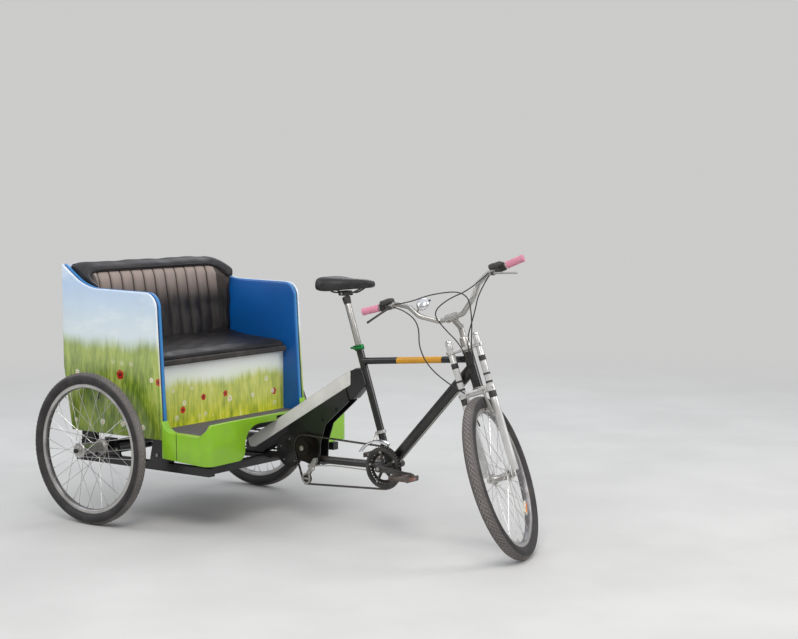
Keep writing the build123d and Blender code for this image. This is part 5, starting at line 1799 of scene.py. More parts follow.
@dataclass
class Fork:
    """Double-crown sprung fork with its rim brake."""

    paint: Palette
    spread: float = 0.06
    leg: float = 0.03

    def make(self) -> None:
        """Build the crowns, the legs and the brake."""
        self.make_crowns()
        self.make_legs()
        self.make_brake()

    def make_crowns(self) -> None:
        """Lower and upper crown plates with pinch bolts, and the steerer."""
        form = Form("fork_crown_pair")
        for middle, depth in ((0.687, 0.024), (0.868, 0.014)):
            outline = [
                (-0.022, -0.02), (self.leg - 0.018, -self.spread - 0.008),
                (self.leg + 0.018, -self.spread - 0.008), (0.026, 0.0),
                (self.leg + 0.018, self.spread + 0.008), (self.leg - 0.018, self.spread + 0.008),
                (-0.022, 0.02),
            ]
            place = STEERING @ Matrix.Translation((0, 0, middle - depth / 2))
            form.plate(outline, place, depth, self.paint.fork, corners=0.008, rounding=0.0025, steps=4)
            for side in Side:
                boss = STEERING @ Matrix.Translation(
                    (self.leg, side.value * self.spread, middle - depth / 2 - 0.001)
                )
                ring = collar(0.0136, 0.0188, 0.0, depth + 0.002, (0.0013, 0.0014))
                form.lathe(ring, boss, self.paint.fork, sides=40, closed=True)
                bolt = on_fork(self.leg + 0.012, side.value * (self.spread + 0.012), middle)
                form.rod(
                    bolt, bolt + STEER_AHEAD * 0.009, 0.0035, self.paint.steel, sides=12, rounding=0.0006
                )
        form.rod(on_fork(0, 0, 0.687), on_fork(0, 0, 0.868), 0.0143, self.paint.steel, sides=32)
        form.build("steering", ("fork_crowns",), "fork_silver")

    def make_legs(self) -> None:
        """Upper tubes with dark bands, white lower legs, dropouts and axle."""
        form = Form("fork_leg_pair")
        paint = self.paint
        for side in Side:
            base = STEERING @ Matrix.Translation((self.leg, side.value * self.spread, 0))
            lower = [
                (0.0, 0.347), (0.015, 0.3475), (0.0162, 0.352), (0.0158, 0.42), (0.016, 0.6),
                (0.0165, 0.606), (0.0165, 0.646), (0.015, 0.65), (0.0, 0.65),
            ]
            form.lathe(lower, base, paint.fork, sides=32)
            for low, high, radius, material in (
                (0.64, 0.676, 0.0158, paint.plastic), (0.698, 0.862, 0.0133, paint.fork),
                (0.676, 0.699, 0.0134, paint.fork), (0.708, 0.716, 0.0145, paint.plastic),
                (0.742, 0.75, 0.0145, paint.plastic), (0.8, 0.822, 0.0142, paint.plastic),
                (0.86, 0.906, 0.0134, paint.fork), (0.904, 0.9145, 0.0124, paint.chrome),
            ):
                form.rod(
                    base @ Vector((0, 0, low)), base @ Vector((0, 0, high)), radius, material, sides=32,
                    rounding=0.0008,
                )
            form.rod(
                base @ Vector((0, 0, 0.914)), base @ Vector((0, 0, 0.9188)), 0.0085, paint.steel, sides=6,
                rounding=0.0008,
            )
            inner = 0.046 if side is Side.LEFT else -0.052
            drop = [
                (0.018, 0.377), (0.046, 0.377), (0.056, HUB_UP), (0.05, 0.3214), (0.034, 0.3214),
                (0.018, 0.345),
            ]
            place = axes(STEERING.translation + STEER_LEFT * (inner + 0.006), STEER_AHEAD, -STEER_LEFT)
            form.plate(drop, place, 0.006, paint.fork, corners=0.006, rounding=0.0012, steps=4)
            nut = on_fork(HUB_AHEAD, side.value * 0.052, HUB_UP)
            form.rod(
                nut, nut + STEER_LEFT * side.value * 0.0056, 0.0095, paint.steel, sides=6, rounding=0.001
            )
        form.rod(
            on_fork(HUB_AHEAD, -0.058, HUB_UP), on_fork(HUB_AHEAD, 0.058, HUB_UP), 0.0049, paint.steel,
            sides=20,
        )
        form.build("steering", ("fork_legs",), "fork_silver")

    def make_brake(self) -> None:
        """Direct-pull rim brake: arms, pads and the cable between them."""
        form = Form("rim_brake")
        paint = self.paint
        pad_up = HUB_UP + 0.2775
        for side in Side:
            sign = side.value
            pivot = on_fork(self.leg + 0.016, sign * 0.045, 0.5914)
            form.rod(pivot, pivot + STEER_AHEAD * 0.018, 0.008, paint.alloy, sides=24, rounding=0.001)
            form.rod(pivot + STEER_AHEAD * 0.018, pivot + STEER_AHEAD * 0.0205, 0.0045, paint.steel, sides=6)
            arm = [
                (-0.008, 0.0), (0.008, 0.0), (0.006, 0.045), (0.0045, 0.094), (-0.0045, 0.094),
                (-0.006, 0.045),
            ]
            foot = on_fork(self.leg + 0.0265, sign * 0.045, 0.5854)
            tip = on_fork(self.leg + 0.0265, sign * 0.034, 0.6854)
            place = axes(foot, STEER_LEFT, STEER_AHEAD) @ Matrix.Rotation(sign * 0.11, 4, "Z")
            form.plate(arm, place, 0.006, paint.alloy, corners=0.0035, rounding=0.001, steps=3)
            form.rod(
                tip - STEER_LEFT * sign * 0.006, tip + STEER_LEFT * sign * 0.006, 0.0036, paint.steel,
                sides=12,
            )
            holder = on_fork(self.leg + 0.028, sign * 0.0455, pad_up)
            form.rod(holder, on_fork(self.leg + 0.028, sign * 0.024, pad_up), 0.0042, paint.steel, sides=12)
            spot = axes(on_fork(self.leg + 0.026, sign * 0.0215, pad_up), STEER_AHEAD, STEER_UP)
            form.block((0.012, 0.005, 0.012), spot, paint.plastic, rounding=0.0015)
        bridge = [on_fork(0.056, 0.034, 0.685), on_fork(0.056, 0.0, 0.6872), on_fork(0.056, -0.034, 0.685)]
        form.tube(bridge, 0.0012, paint.steel)
        form.build("steering", ("front_brake",), "silver")


BAR_ROUTE: tuple[Point, ...] = (
    (0.08, 0.0, 0.998), (0.084, 0.052, 0.998), (0.112, 0.118, 1.04), (0.104, 0.152, 1.09),
    (0.09, 0.204, 1.119), (0.088, 0.355, 1.132),
)


def along_grip(side: Side, out: float) -> Vector:
    """Point on the straight end of the handlebar at a distance out from the middle."""
    inner, outer = Vector(BAR_ROUTE[-2]), Vector(BAR_ROUTE[-1])
    spot = inner.lerp(outer, (out - inner.y) / (outer.y - inner.y))
    return on_fork(spot.x, side.value * spot.y, spot.z)


@dataclass
class Cockpit:
    """Stem, grips, hand controls, bell and cables."""

    paint: Palette
    grip_ribs: int = 11
    sleeve_radius: float = 0.0025

    def make(self) -> None:
        """Build everything at the handlebar."""
        dress("handlebar", self.paint.alloy)
        self.make_stem()
        self.make_grips()
        self.make_controls()
        self.make_bell()
        self.make_cables()

    def make_stem(self) -> None:
        """Quill stem: column, wedge bolt, forward arm and bar clamp."""
        form = Form("quill_stem")
        paint = self.paint
        column = [
            (0.0, 0.875), (0.02, 0.8752), (0.02, 0.908), (0.0185, 0.914), (0.0165, 0.9175), (0.012, 0.918),
            (0.0118, 0.962), (0.0126, 0.966), (0.01, 0.97), (0.0, 0.9705),
        ]
        form.lathe(column, STEERING, paint.alloy, sides=40)
        form.rod(on_fork(0, 0, 0.969), on_fork(0, 0, 0.9735), 0.0045, paint.steel, sides=6)
        form.rod(
            on_fork(-0.003, 0, 0.955), on_fork(0.073, 0, 0.9965), 0.0118, paint.alloy, end_radius=0.0126,
            sides=32,
        )
        clamp = axes(on_fork(0.08, 0, 0.998), STEER_AHEAD, STEER_LEFT)
        ring = collar(0.0112, 0.017, -0.024, 0.024, (0.0015, 0.0015))
        form.lathe(ring, clamp, paint.alloy, sides=40, closed=True)
        for side in Side:
            bolt = on_fork(0.086, side.value * 0.013, 0.982)
            form.rod(bolt, bolt + STEER_UP * 0.001 + STEER_AHEAD * 0.012, 0.0034, paint.steel, sides=12)
        form.build("steering", ("stem",), "silver")

    def make_grips(self) -> None:
        """Soft ribbed grips with end flanges."""
        form = Form("ribbed_grips")
        for side in Side:
            start = along_grip(side, 0.281)
            end = along_grip(side, 0.3555)
            place = axes(start, STEER_UP, end - start)
            length = (end - start).length
            profile = [(0.0, 0.0), (BAR_BORE, 0.0), (0.0152, 0.0004), (0.0155, 0.003)]
            wide = (length - 0.016) / self.grip_ribs
            for number in range(self.grip_ribs):
                low = 0.005 + number * (length - 0.016) / self.grip_ribs
                profile += [
                    (0.0138, low), (0.015, low + wide * 0.3), (0.015, low + wide * 0.7),
                    (0.0138, low + wide),
                ]
            profile += [
                (0.0155, length - 0.0085), (0.0155, length - 0.002), (0.0145, length),
                (0.0, length + 0.0004),
            ]
            form.lathe(profile, place, self.paint.grip, sides=32)
        form.build("steering", ("grips",), "grip")

    def make_controls(self) -> None:
        """Twist shifters, lever clamps and brake levers."""
        form = Form("shifters_and_levers")
        paint = self.paint
        for side in Side:
            start = along_grip(side, 0.214)
            way = (along_grip(side, 0.276) - start).normalized()
            place = axes(start, STEER_UP, way)
            clamp = collar(BAR_BORE, 0.0178, 0.0, 0.014, (0.0013, 0.0015))
            form.lathe(clamp, place, paint.alloy, sides=32, closed=True)
            body = [
                (BAR_BORE, 0.0145), (0.015, 0.0145), (0.018, 0.018), (0.0178, 0.036), (0.015, 0.0395),
                (BAR_BORE, 0.04),
            ]
            form.lathe(body, place, paint.plastic, sides=32, closed=True)
            profile = [(BAR_BORE, 0.0405)]
            for number in range(5):
                low = 0.041 + number * 0.0042
                profile += [
                    (0.015, low), (0.0168, low + 0.001), (0.0168, low + 0.0028), (0.015, low + 0.0038)
                ]
            profile += [(BAR_BORE, 0.062)]
            form.lathe(profile, place, paint.plastic, sides=32, closed=True)
            pod = axes(along_grip(side, 0.24) + STEER_UP * 0.015 + STEER_AHEAD * 0.006, way, STEER_UP)
            form.block((0.056, 0.04, 0.022), pod, paint.plastic, rounding=0.008, segments=3)
            cap = pod @ Matrix.Translation((-0.006, 0, 0.0075))
            form.ball(cap, (0.019, 0.016, 0.0072), paint.steel)
            root = along_grip(side, 0.226)
            pivot = root + STEER_AHEAD * 0.03 - STEER_UP * 0.012
            tip = along_grip(side, 0.325) + STEER_AHEAD * 0.056 - STEER_UP * 0.052
            lever = paint.plastic if side is Side.RIGHT else paint.alloy
            form.rod(root + STEER_AHEAD * 0.014, pivot, 0.0085, paint.alloy, sides=20, rounding=0.001)
            form.rod(
                pivot - STEER_UP * 0.007, pivot + STEER_UP * 0.007, 0.0075, paint.plastic, sides=20,
                rounding=0.001,
            )
            blade = [
                pivot, pivot.lerp(tip, 0.25) + STEER_AHEAD * 0.004,
                pivot.lerp(tip, 0.75) + STEER_AHEAD * 0.002, tip,
            ]
            form.tube(blade, 0.0044, lever, sides=3)
            form.ball(axes(tip, way, STEER_UP), (0.0052, 0.0052, 0.0052), lever, sides=16)
            barrel = along_grip(side, 0.212) + STEER_AHEAD * 0.02 - STEER_UP * 0.01
            form.rod(barrel, barrel - way * 0.004, 0.0042, paint.steel, sides=12)
        form.build("steering", ("hand_controls",), "control_black")

    def make_bell(self) -> None:
        """Domed bell on its bracket."""
        form = Form("dome_bell")
        back = on_fork(0.114, -0.088, 1.076)
        way = (STEER_AHEAD * 0.85 + STEER_UP * 0.53).normalized()
        place = axes(back, STEER_LEFT, way)
        dome = [
            (0.0, 0.0025), (0.027, 0.0025), (0.028, 0.0035), (0.0278, 0.0065), (0.0262, 0.012),
            (0.0222, 0.0168), (0.0158, 0.0202), (0.008, 0.0218), (0.0, 0.022),
        ]
        form.lathe(dome, place, self.paint.chrome, sides=48)
        form.rod(back - way * 0.004, back + way * 0.003, 0.012, self.paint.plastic, sides=32, rounding=0.001)
        foot = on_fork(0.109, -0.131, 1.059)
        form.rod(foot, back, 0.0045, self.paint.steel, sides=16)
        thumb = place @ Matrix.Translation((0.026, 0.014, -0.001))
        form.block((0.012, 0.008, 0.003), thumb, self.paint.plastic, rounding=0.001)
        form.build("steering", ("bell",), "chrome")

    def make_cables(self) -> None:
        """Cable sleeves in smooth loops from the controls."""
        front = Form("brake_sleeve")
        brake = (
            (0.122, -0.212, 1.106), (0.146, -0.165, 1.082), (0.156, -0.112, 1.008), (0.14, -0.152, 0.905),
            (0.108, -0.12, 0.785), (0.066, -0.04, 0.692),
        )
        front.tube([on_fork(*point) for point in brake], self.sleeve_radius, self.paint.cable)
        front.build("steering", ("bar_cables",), "cable")
        form = Form("gear_and_brake_sleeves")
        for route in (
            (
                (0.107, -0.206, 1.118), (0.15, -0.14, 1.1), (0.166, -0.02, 1.102), (0.156, 0.118, 1.07),
                (0.118, 0.092, 0.96), (0.084, 0.04, 0.85), (0.04, 0.022, 0.79),
            ),
            (
                (0.107, 0.206, 1.118), (0.146, 0.13, 1.072), (0.136, 0.02, 1.066), (0.12, -0.06, 1.034),
                (0.102, -0.036, 0.962), (0.064, 0.002, 0.88), (0.042, 0.006, 0.8),
            ),
            (
                (0.122, 0.212, 1.106), (0.134, 0.152, 1.052), (0.116, 0.108, 0.982), (0.076, 0.022, 0.88),
                (0.04, 0.014, 0.795),
            ),
        ):
            form.tube([on_fork(*point) for point in route], self.sleeve_radius, self.paint.cable)
        form.build("steering", slot="cable")
        self.make_frame_cable()

    def make_frame_cable(self) -> None:
        """Pale gear cable held along the down tube and the boom."""
        form = Form("frame_sleeve")
        side = LEFT * -0.012
        head = at(STEER_GROUND, 0, 0) + STEER_UP * (0.742 / STEER_UP.z)
        run = (head - BRACKET).normalized()
        under = Vector((run.z, 0, -run.x))
        rise = 0.0242
        route = [
            head - run * 0.07 + under * rise + side, BRACKET + run * 0.3 + under * rise + side,
            BRACKET + run * 0.06 + under * (rise + 0.001) + side, BRACKET + under * 0.031 + side,
            BRACKET + Vector((-0.044, -0.012, -0.028)), at(0.93, -0.012, 0.275), at(0.892, -0.042, 0.273),
            at(0.855, -0.042, 0.272),
        ]
        form.tube(route, self.sleeve_radius, self.paint.pale_cable)
        form.build("root", ("frame_cable",), "pale_cable")


@dataclass
class Perch:
    """Saddle, its rails, the seat post and the green clamp."""

    paint: Palette
    clamp_height: float = 0.8

    def make(self) -> None:
        """Build the saddle, post and clamp."""
        self.make_saddle()
        self.make_post()
        self.make_clamp()

    def make_saddle(self) -> None:
        """Padded saddle, wide behind and narrow at its nose."""
        sections = []
        for ahead, half, low, high in (
            (0.865, 0.034, 1.05, 1.074), (0.871, 0.06, 1.038, 1.083), (0.89, 0.08, 1.03, 1.088),
            (0.918, 0.088, 1.027, 1.09), (0.948, 0.083, 1.027, 1.089), (0.978, 0.066, 1.03, 1.086),
            (1.006, 0.046, 1.034, 1.083), (1.04, 0.033, 1.038, 1.082), (1.08, 0.028, 1.041, 1.082),
            (1.115, 0.024, 1.044, 1.08), (1.134, 0.018, 1.049, 1.076), (1.1425, 0.009, 1.056, 1.069),
        ):
            middle = (low + high) / 2
            tall = high - low
            loop = [
                (0.0, high - tall * 0.03), (0.45, high), (0.8, high - tall * 0.08),
                (0.97, middle + tall * 0.16), (1.0, middle - tall * 0.2), (0.97, low + tall * 0.04),
                (0.78, low), (0.0, low + tall * 0.16),
            ]
            right = [at(ahead, -half * share, height) for share, height in loop]
            left = [at(ahead, half * share, height) for share, height in loop[-2:0:-1]]
            sections.append(right + left)
        piece = loose_piece("padded_saddle", lofted(sections), self.paint.saddle)
        refine(piece, 2)
        hang(piece, "root", ("saddle",))

    def make_post(self) -> None:
        """Seat post with its head, rails and cradle."""
        form = Form("post_and_rails")
        paint = self.paint
        foot, head = on_seat_tube(self.clamp_height), on_seat_tube(1.006)
        form.rod(foot, head, 0.0135, paint.alloy, sides=40, rounding=0.001)
        form.rod(
            head - SEAT_WAY * 0.034, head - SEAT_WAY * 0.004, 0.0155, paint.plastic, end_radius=0.0185,
            sides=32, rounding=0.0012,
        )
        cradle = axes(at(0.992, 0, 1.0155), AHEAD, UP)
        form.block((0.038, 0.056, 0.012), cradle, paint.plastic, rounding=0.003)
        form.block(
            (0.032, 0.05, 0.008), cradle @ Matrix.Translation((0, 0, 0.0105)), paint.plastic,
            rounding=0.002,
        )
        for side in Side:
            sign = side.value
            rail = [
                at(0.906, sign * 0.022, 1.044), at(0.93, sign * 0.022, 1.024), at(0.96, sign * 0.022, 1.022),
                at(1.02, sign * 0.022, 1.022), at(1.048, sign * 0.018, 1.024), at(1.088, sign * 0.012, 1.046),
            ]
            form.tube(rail, 0.0034, paint.plastic, sides=3)
            bolt = at(0.992, sign * 0.0265, 1.02)
            form.rod(bolt, bolt + LEFT * (sign * 0.0042), 0.0065, paint.steel, sides=6, rounding=0.0006)
        form.build("root", ("seatpost",), "silver")

    def make_clamp(self) -> None:
        """Green quick-release clamp with its cam lever."""
        form = Form("quick_release")
        top = on_seat_tube(self.clamp_height)
        place = axes(top - SEAT_WAY * 0.02, LEFT, SEAT_WAY)
        ring = collar(SEAT_BORE, 0.021, 0.0, 0.02, (0.0012, 0.0016))
        form.lathe(ring, place, self.paint.green, sides=48, closed=True)
        middle = top - SEAT_WAY * 0.01 - AHEAD * 0.022
        form.block(
            (0.012, 0.026, 0.016), axes(middle + AHEAD * 0.003, AHEAD, SEAT_WAY), self.paint.green,
            rounding=0.002,
        )
        form.rod(
            middle - LEFT * 0.028, middle + LEFT * 0.024, 0.0048, self.paint.steel, sides=16,
            rounding=0.001,
        )
        start = middle - LEFT * 0.028
        end = middle + Vector((0.062, -0.032, 0.002))
        form.tube(
            [start, start.lerp(end, 0.3) - UP * 0.0005, start.lerp(end, 0.7), end], 0.0046,
            self.paint.green, sides=3,
        )
        form.build("root", ("seat_clamp",), "clamp_green")


@dataclass
class Drive:
    """Crank set, pedals, sprockets, chains and derailleurs."""

    paint: Palette
    shaft: Vector = field(default_factory=lambda: at(0.8, 0, 0.345))
    pulley: Vector = field(default_factory=lambda: at(0.812, 0, 0.212))
    crank_turn: float = radians(-4.0)
    crank_length: float = 0.17
    link_pitch: float = 0.0127

    def crank_way(self) -> Vector:
        """Direction of the right crank."""
        return Vector((cos(self.crank_turn), 0, sin(self.crank_turn)))

    def across(self, spot: Vector, side: float) -> Matrix:
        """Place at a spot whose local Z points to the left, at a distance to the left."""
        return axes(spot + LEFT * side, AHEAD, LEFT)

    def make(self) -> None:
        """Build the drive train."""
        self.make_cranks()
        self.make_pedals()
        self.make_cluster()
        self.make_chains()
        self.make_changers()

    def make_cranks(self) -> None:
        """Black triple chainring with crank arms."""
        form = Form("crank_and_rings")
        paint = self.paint
        way = self.crank_way()
        form.cog(44, 0.089, 0.003, self.across(BRACKET, -0.05), paint.plastic, 0.066)
        form.cog(34, 0.069, 0.0026, self.across(BRACKET, -0.044), paint.chain, 0.052)
        for number in range(5):
            angle = 2 * pi * number / 5 + 0.5
            out = Vector((cos(angle), 0, sin(angle)))
            form.rod(
                BRACKET + LEFT * -0.049 + out * 0.014, BRACKET + LEFT * -0.049 + out * 0.07,
                0.007, paint.plastic, end_radius=0.0052, sides=12,
            )
            bolt = BRACKET + LEFT * -0.0525 + out * 0.066
            form.rod(bolt, bolt - LEFT * 0.003, 0.0052, paint.alloy, sides=12, rounding=0.0008)
        guard = self.across(BRACKET, -0.0545)
        form.lathe(
            [(0.072, -0.001), (0.086, -0.001), (0.086, 0.001), (0.072, 0.001)], guard, paint.plastic,
            sides=64, closed=True,
        )
        form.rod(BRACKET - LEFT * 0.084, BRACKET + LEFT * 0.084, 0.0088, paint.steel, sides=24)
        for side, facing in ((-1, way), (1, -way)):
            boss = BRACKET + LEFT * (side * 0.039)
            form.rod(
                boss, BRACKET + LEFT * (side * 0.088), 0.0165, paint.plastic, end_radius=0.015, sides=32,
                rounding=0.002,
            )
            cap = BRACKET + LEFT * (side * 0.0875)
            form.rod(cap, cap + LEFT * (side * 0.0015), 0.0085, paint.steel, sides=20)
            sections = []
            for share, wide, thick, out in (
                (0.0, 0.015, 0.008, 0.076), (0.12, 0.0125, 0.0075, 0.077), (0.8, 0.01, 0.0062, 0.081),
                (0.94, 0.0118, 0.0066, 0.082), (1.0, 0.0085, 0.0062, 0.082),
            ):
                reach = self.crank_length * share + 0.008 * (share == 1.0)
                middle = BRACKET + facing * reach + LEFT * (side * out)
                rise = facing.cross(LEFT)
                sections.append([
                    middle + rise * wide * u + LEFT * thick * v
                    for u, v in (
                        (-1, -0.5), (-0.75, -1), (0.75, -1), (1, -0.5), (1, 0.5), (0.75, 1), (-0.75, 1),
                        (-1, 0.5),
                    )
                ])
            form.loft(sections, paint.plastic if side < 0 else paint.alloy)
        form.build("cranks", ("crank_set",), "frame_black")

    def make_pedals(self) -> None:
        """Cage pedals with teeth and reflectors."""
        for side in Side:
            name = side.name.lower()
            form = Form(f"cage_pedal_{name}")
            eye = BRACKET - self.crank_way() * (side.value * self.crank_length)
            out = LEFT * side.value
            form.rod(
                eye + out * 0.0925, eye + out * 0.136, 0.006, self.paint.steel, end_radius=0.005, sides=20
            )
            form.rod(eye + out * 0.099, eye + out * 0.176, 0.0105, self.paint.cage, sides=24, rounding=0.002)
            middle = eye + out * 0.14
            for end in (-1, 1):
                rail = Matrix.Translation(middle + Vector((end * 0.0445, 0, 0)))
                form.block((0.0028, 0.086, 0.019), rail, self.paint.cage, rounding=0.0009)
                for step in range(9):
                    for rise in (-1, 1):
                        tooth = middle + Vector((end * 0.0445, -0.036 + step * 0.009, rise * 0.0098))
                        form.block((0.0026, 0.0042, 0.0024), Matrix.Translation(tooth), self.paint.cage)
                lens = Matrix.Translation(middle + Vector((end * 0.0452, 0, 0)))
                form.block((0.0016, 0.044, 0.014), lens, self.paint.brown_lens, rounding=0.0006)
            for end in (-1, 1):
                bar = Matrix.Translation(middle + LEFT * (end * 0.0405))
                form.block((0.088, 0.005, 0.015), bar, self.paint.cage, rounding=0.0015)
            form.build(f"{name}_pedal", (f"pedal_{name}",), "silver")

    def make_cluster(self) -> None:
        """Middle shaft with its sprocket cluster and the cog that drives the rear axle."""
        form = Form("sprocket_cluster")
        paint = self.paint
        for offset, radius, teeth in (
            (0.034, 0.0672, 34), (0.042, 0.06, 30), (0.05, 0.053, 26), (0.058, 0.045, 22), (0.066, 0.037, 18)
        ):
            form.cog(teeth, radius, 0.002, self.across(self.shaft, -offset), paint.chain, 0.0215)
        form.rod(self.shaft - LEFT * 0.032, self.shaft - LEFT * 0.07, 0.0218, paint.chain, sides=32)
        form.rod(
            self.shaft - LEFT * 0.07, self.shaft - LEFT * 0.0735, 0.012, paint.steel, sides=6,
            rounding=0.001,
        )
        form.rod(
            self.shaft - LEFT * 0.074, self.shaft + LEFT * 0.054, 0.0079, paint.steel, sides=24,
            rounding=0.001,
        )
        form.cog(16, 0.0315, 0.0036, self.across(self.shaft, 0.044), paint.chain, 0.0078)
        form.build("middle_drive", ("mid_drive",), "steel")

    def chain_line(self, wheels: list[tuple[Vector, float]]) -> list[tuple[Vector, float]]:
        """Places of a chain's links round its wheels.

        Args:
            wheels: each wheel's middle and the radius its chain runs at.

        Returns:
            The middle and the angle of each link.
        """
        points = []
        for middle, radius in wheels:
            for step in range(72):
                angle = 2 * pi * step / 72
                points.append((middle.x + radius * cos(angle), middle.z + radius * sin(angle)))
        ring: list[Pair] = []
        for ordered in (sorted(points), sorted(points, reverse=True)):
            run: list[Pair] = []
            for point in ordered:
                while len(run) > 1 and (run[-1][0] - run[-2][0]) * (point[1] - run[-2][1]) <= (
                    run[-1][1] - run[-2][1]
                ) * (point[0] - run[-2][0]):
                    run.pop()
                run.append(point)
            ring += run[:-1]
        lengths = [hypot(b[0] - a[0], b[1] - a[1]) for a, b in zip(ring, ring[1:] + ring[:1])]
        total = sum(lengths)
        count = round(total / self.link_pitch)
        spots: list[Pair] = []
        index, passed = 0, 0.0
        for number in range(count):
            goal = total * number / count
            while passed + lengths[index] < goal:
                passed += lengths[index]
                index += 1
            share = (goal - passed) / lengths[index]
            first, second = ring[index], ring[(index + 1) % len(ring)]
            spots.append(
                (first[0] + (second[0] - first[0]) * share, first[1] + (second[1] - first[1]) * share)
            )
        links = []
        for first, second in zip(spots, spots[1:] + spots[:1]):
            angle = atan2(second[1] - first[1], second[0] - first[0])
            links.append((Vector(((first[0] + second[0]) / 2, 0, (first[1] + second[1]) / 2)), angle))
        return links

    def make_chain(self, name: str, wheels: list[tuple[Vector, float]], side: float, node: str) -> None:
        """One chain of linked plates and rollers.

        Args:
            name: name of the piece.
            wheels: the wheels it runs round.
            side: its place to the left of the middle.
            node: the CAD node it stands for.
        """
        form = Form(name)
        for number, (middle, angle) in enumerate(self.chain_line(wheels)):
            spot = Matrix.Translation(middle + LEFT * side) @ Matrix.Rotation(-angle, 4, "Y")
            gap = 0.0026 if number % 2 else 0.0017
            for sign in (-1, 1):
                shape = bmesh.new()
                bmesh.ops.create_cube(shape, size=1.0)
                bmesh.ops.scale(shape, vec=(0.019, 0.0009, 0.0076), verts=shape.verts)
                ends = [edge for edge in shape.edges if abs(edge.verts[0].co.y - edge.verts[1].co.y) > 1e-5]
                soften(shape, ends, 0.0024, 1)
                form.add(shape, self.paint.chain, spot @ Matrix.Translation((0, sign * gap, 0)))
            pin = spot @ Vector((self.link_pitch / 2, 0, 0))
            form.rod(pin - LEFT * 0.0032, pin + LEFT * 0.0032, 0.0022, self.paint.steel, sides=6)
        form.build("root", (node,), "chain_steel")

    def make_chains(self) -> None:
        """Front chain round the chainring, sprocket and pulley, and rear chain to the axle."""
        front = [(BRACKET, 0.09), (self.shaft, 0.056), (self.pulley, 0.024)]
        rear = [(self.shaft, 0.034), (at(0, 0, WHEEL_RADIUS), 0.048)]
        self.make_chain("front_chain_links", front, -0.05, "front_chain")
        self.make_chain("rear_chain_links", rear, 0.044, "rear_chain")

    def make_changers(self) -> None:
        """Rear derailleur with its cage and pulley, and front guide on its band."""
        form = Form("derailleur_pair")
        paint = self.paint
        pivot = at(0.846, -0.058, 0.272)
        form.rod(at(0.846, -0.03, 0.272), pivot, 0.008, paint.steel, sides=24, rounding=0.001)
        form.block(
            (0.034, 0.014, 0.022),
            axes(at(0.838, -0.052, 0.262), Vector((0.6, 0, -0.8)), Vector((0.8, 0, 0.6))), paint.alloy,
            rounding=0.004,
        )
        for side in (-0.055, -0.044):
            arm = [
                (0.816, 0.228), (0.826, 0.224), (0.87, 0.292), (0.866, 0.306), (0.852, 0.304),
                (0.814, 0.238),
            ]
            place = upright(side)
            form.plate(arm, place, 0.0018, paint.alloy, corners=0.004, rounding=0.0006, steps=3)
            loop = [(0.0165, -0.0009), (0.0232, -0.0009), (0.0238, 0.0), (0.0232, 0.0009), (0.0165, 0.0009)]
            form.lathe(loop, self.across(self.pulley, side - 0.0009), paint.alloy, sides=40, closed=True)
        tongue = axes(self.pulley + LEFT * -0.056, AHEAD, LEFT)
        form.block((0.04, 0.0075, 0.0016), tongue, paint.alloy, rounding=0.0006)
        form.cog(11, 0.0215, 0.003, self.across(self.pulley, -0.05), paint.plastic, 0.004, depth=0.003)
        form.rod(self.pulley - LEFT * 0.0445, self.pulley - LEFT * 0.057, 0.0042, paint.steel, sides=12)
        for depth, near, far in ((0.0024, -0.059, -0.04), (0.012, -0.059, -0.0572), (0.012, -0.0418, -0.04)):
            sections = []
            for step in range(15):
                share = step / 14
                angle = radians(74 + 80 * share)
                out = Vector((cos(angle), 0, sin(angle)))
                reach = 0.109 + 0.024 * share
                taper = depth * (1 - 0.5 * share)
                rim = BRACKET + out * reach
                low = BRACKET + out * (reach - max(0.0024, taper))
                sections.append(
                    [spot + LEFT * side for spot, side in ((rim, near), (rim, far), (low, far), (low, near))]
                )
            form.loft(sections, paint.chrome)
        bridge = BRACKET + Vector((-0.05, -0.0575, 0.108))
        form.rod(bridge, bridge + LEFT * 0.0165, 0.0032, paint.steel, sides=12)
        band = on_seat_tube(0.44)
        ring = collar(SEAT_BORE, 0.021, -0.007, 0.007, (0.001, 0.001))
        form.lathe(ring, axes(band, LEFT, SEAT_WAY), paint.alloy, sides=40, closed=True)
        form.rod(
            band - Vector((0.014, 0.012, 0)), bridge + LEFT * 0.0165, 0.006, paint.alloy, sides=16,
            rounding=0.001,
        )
        form.build("root", ("derailleurs",), "steel")


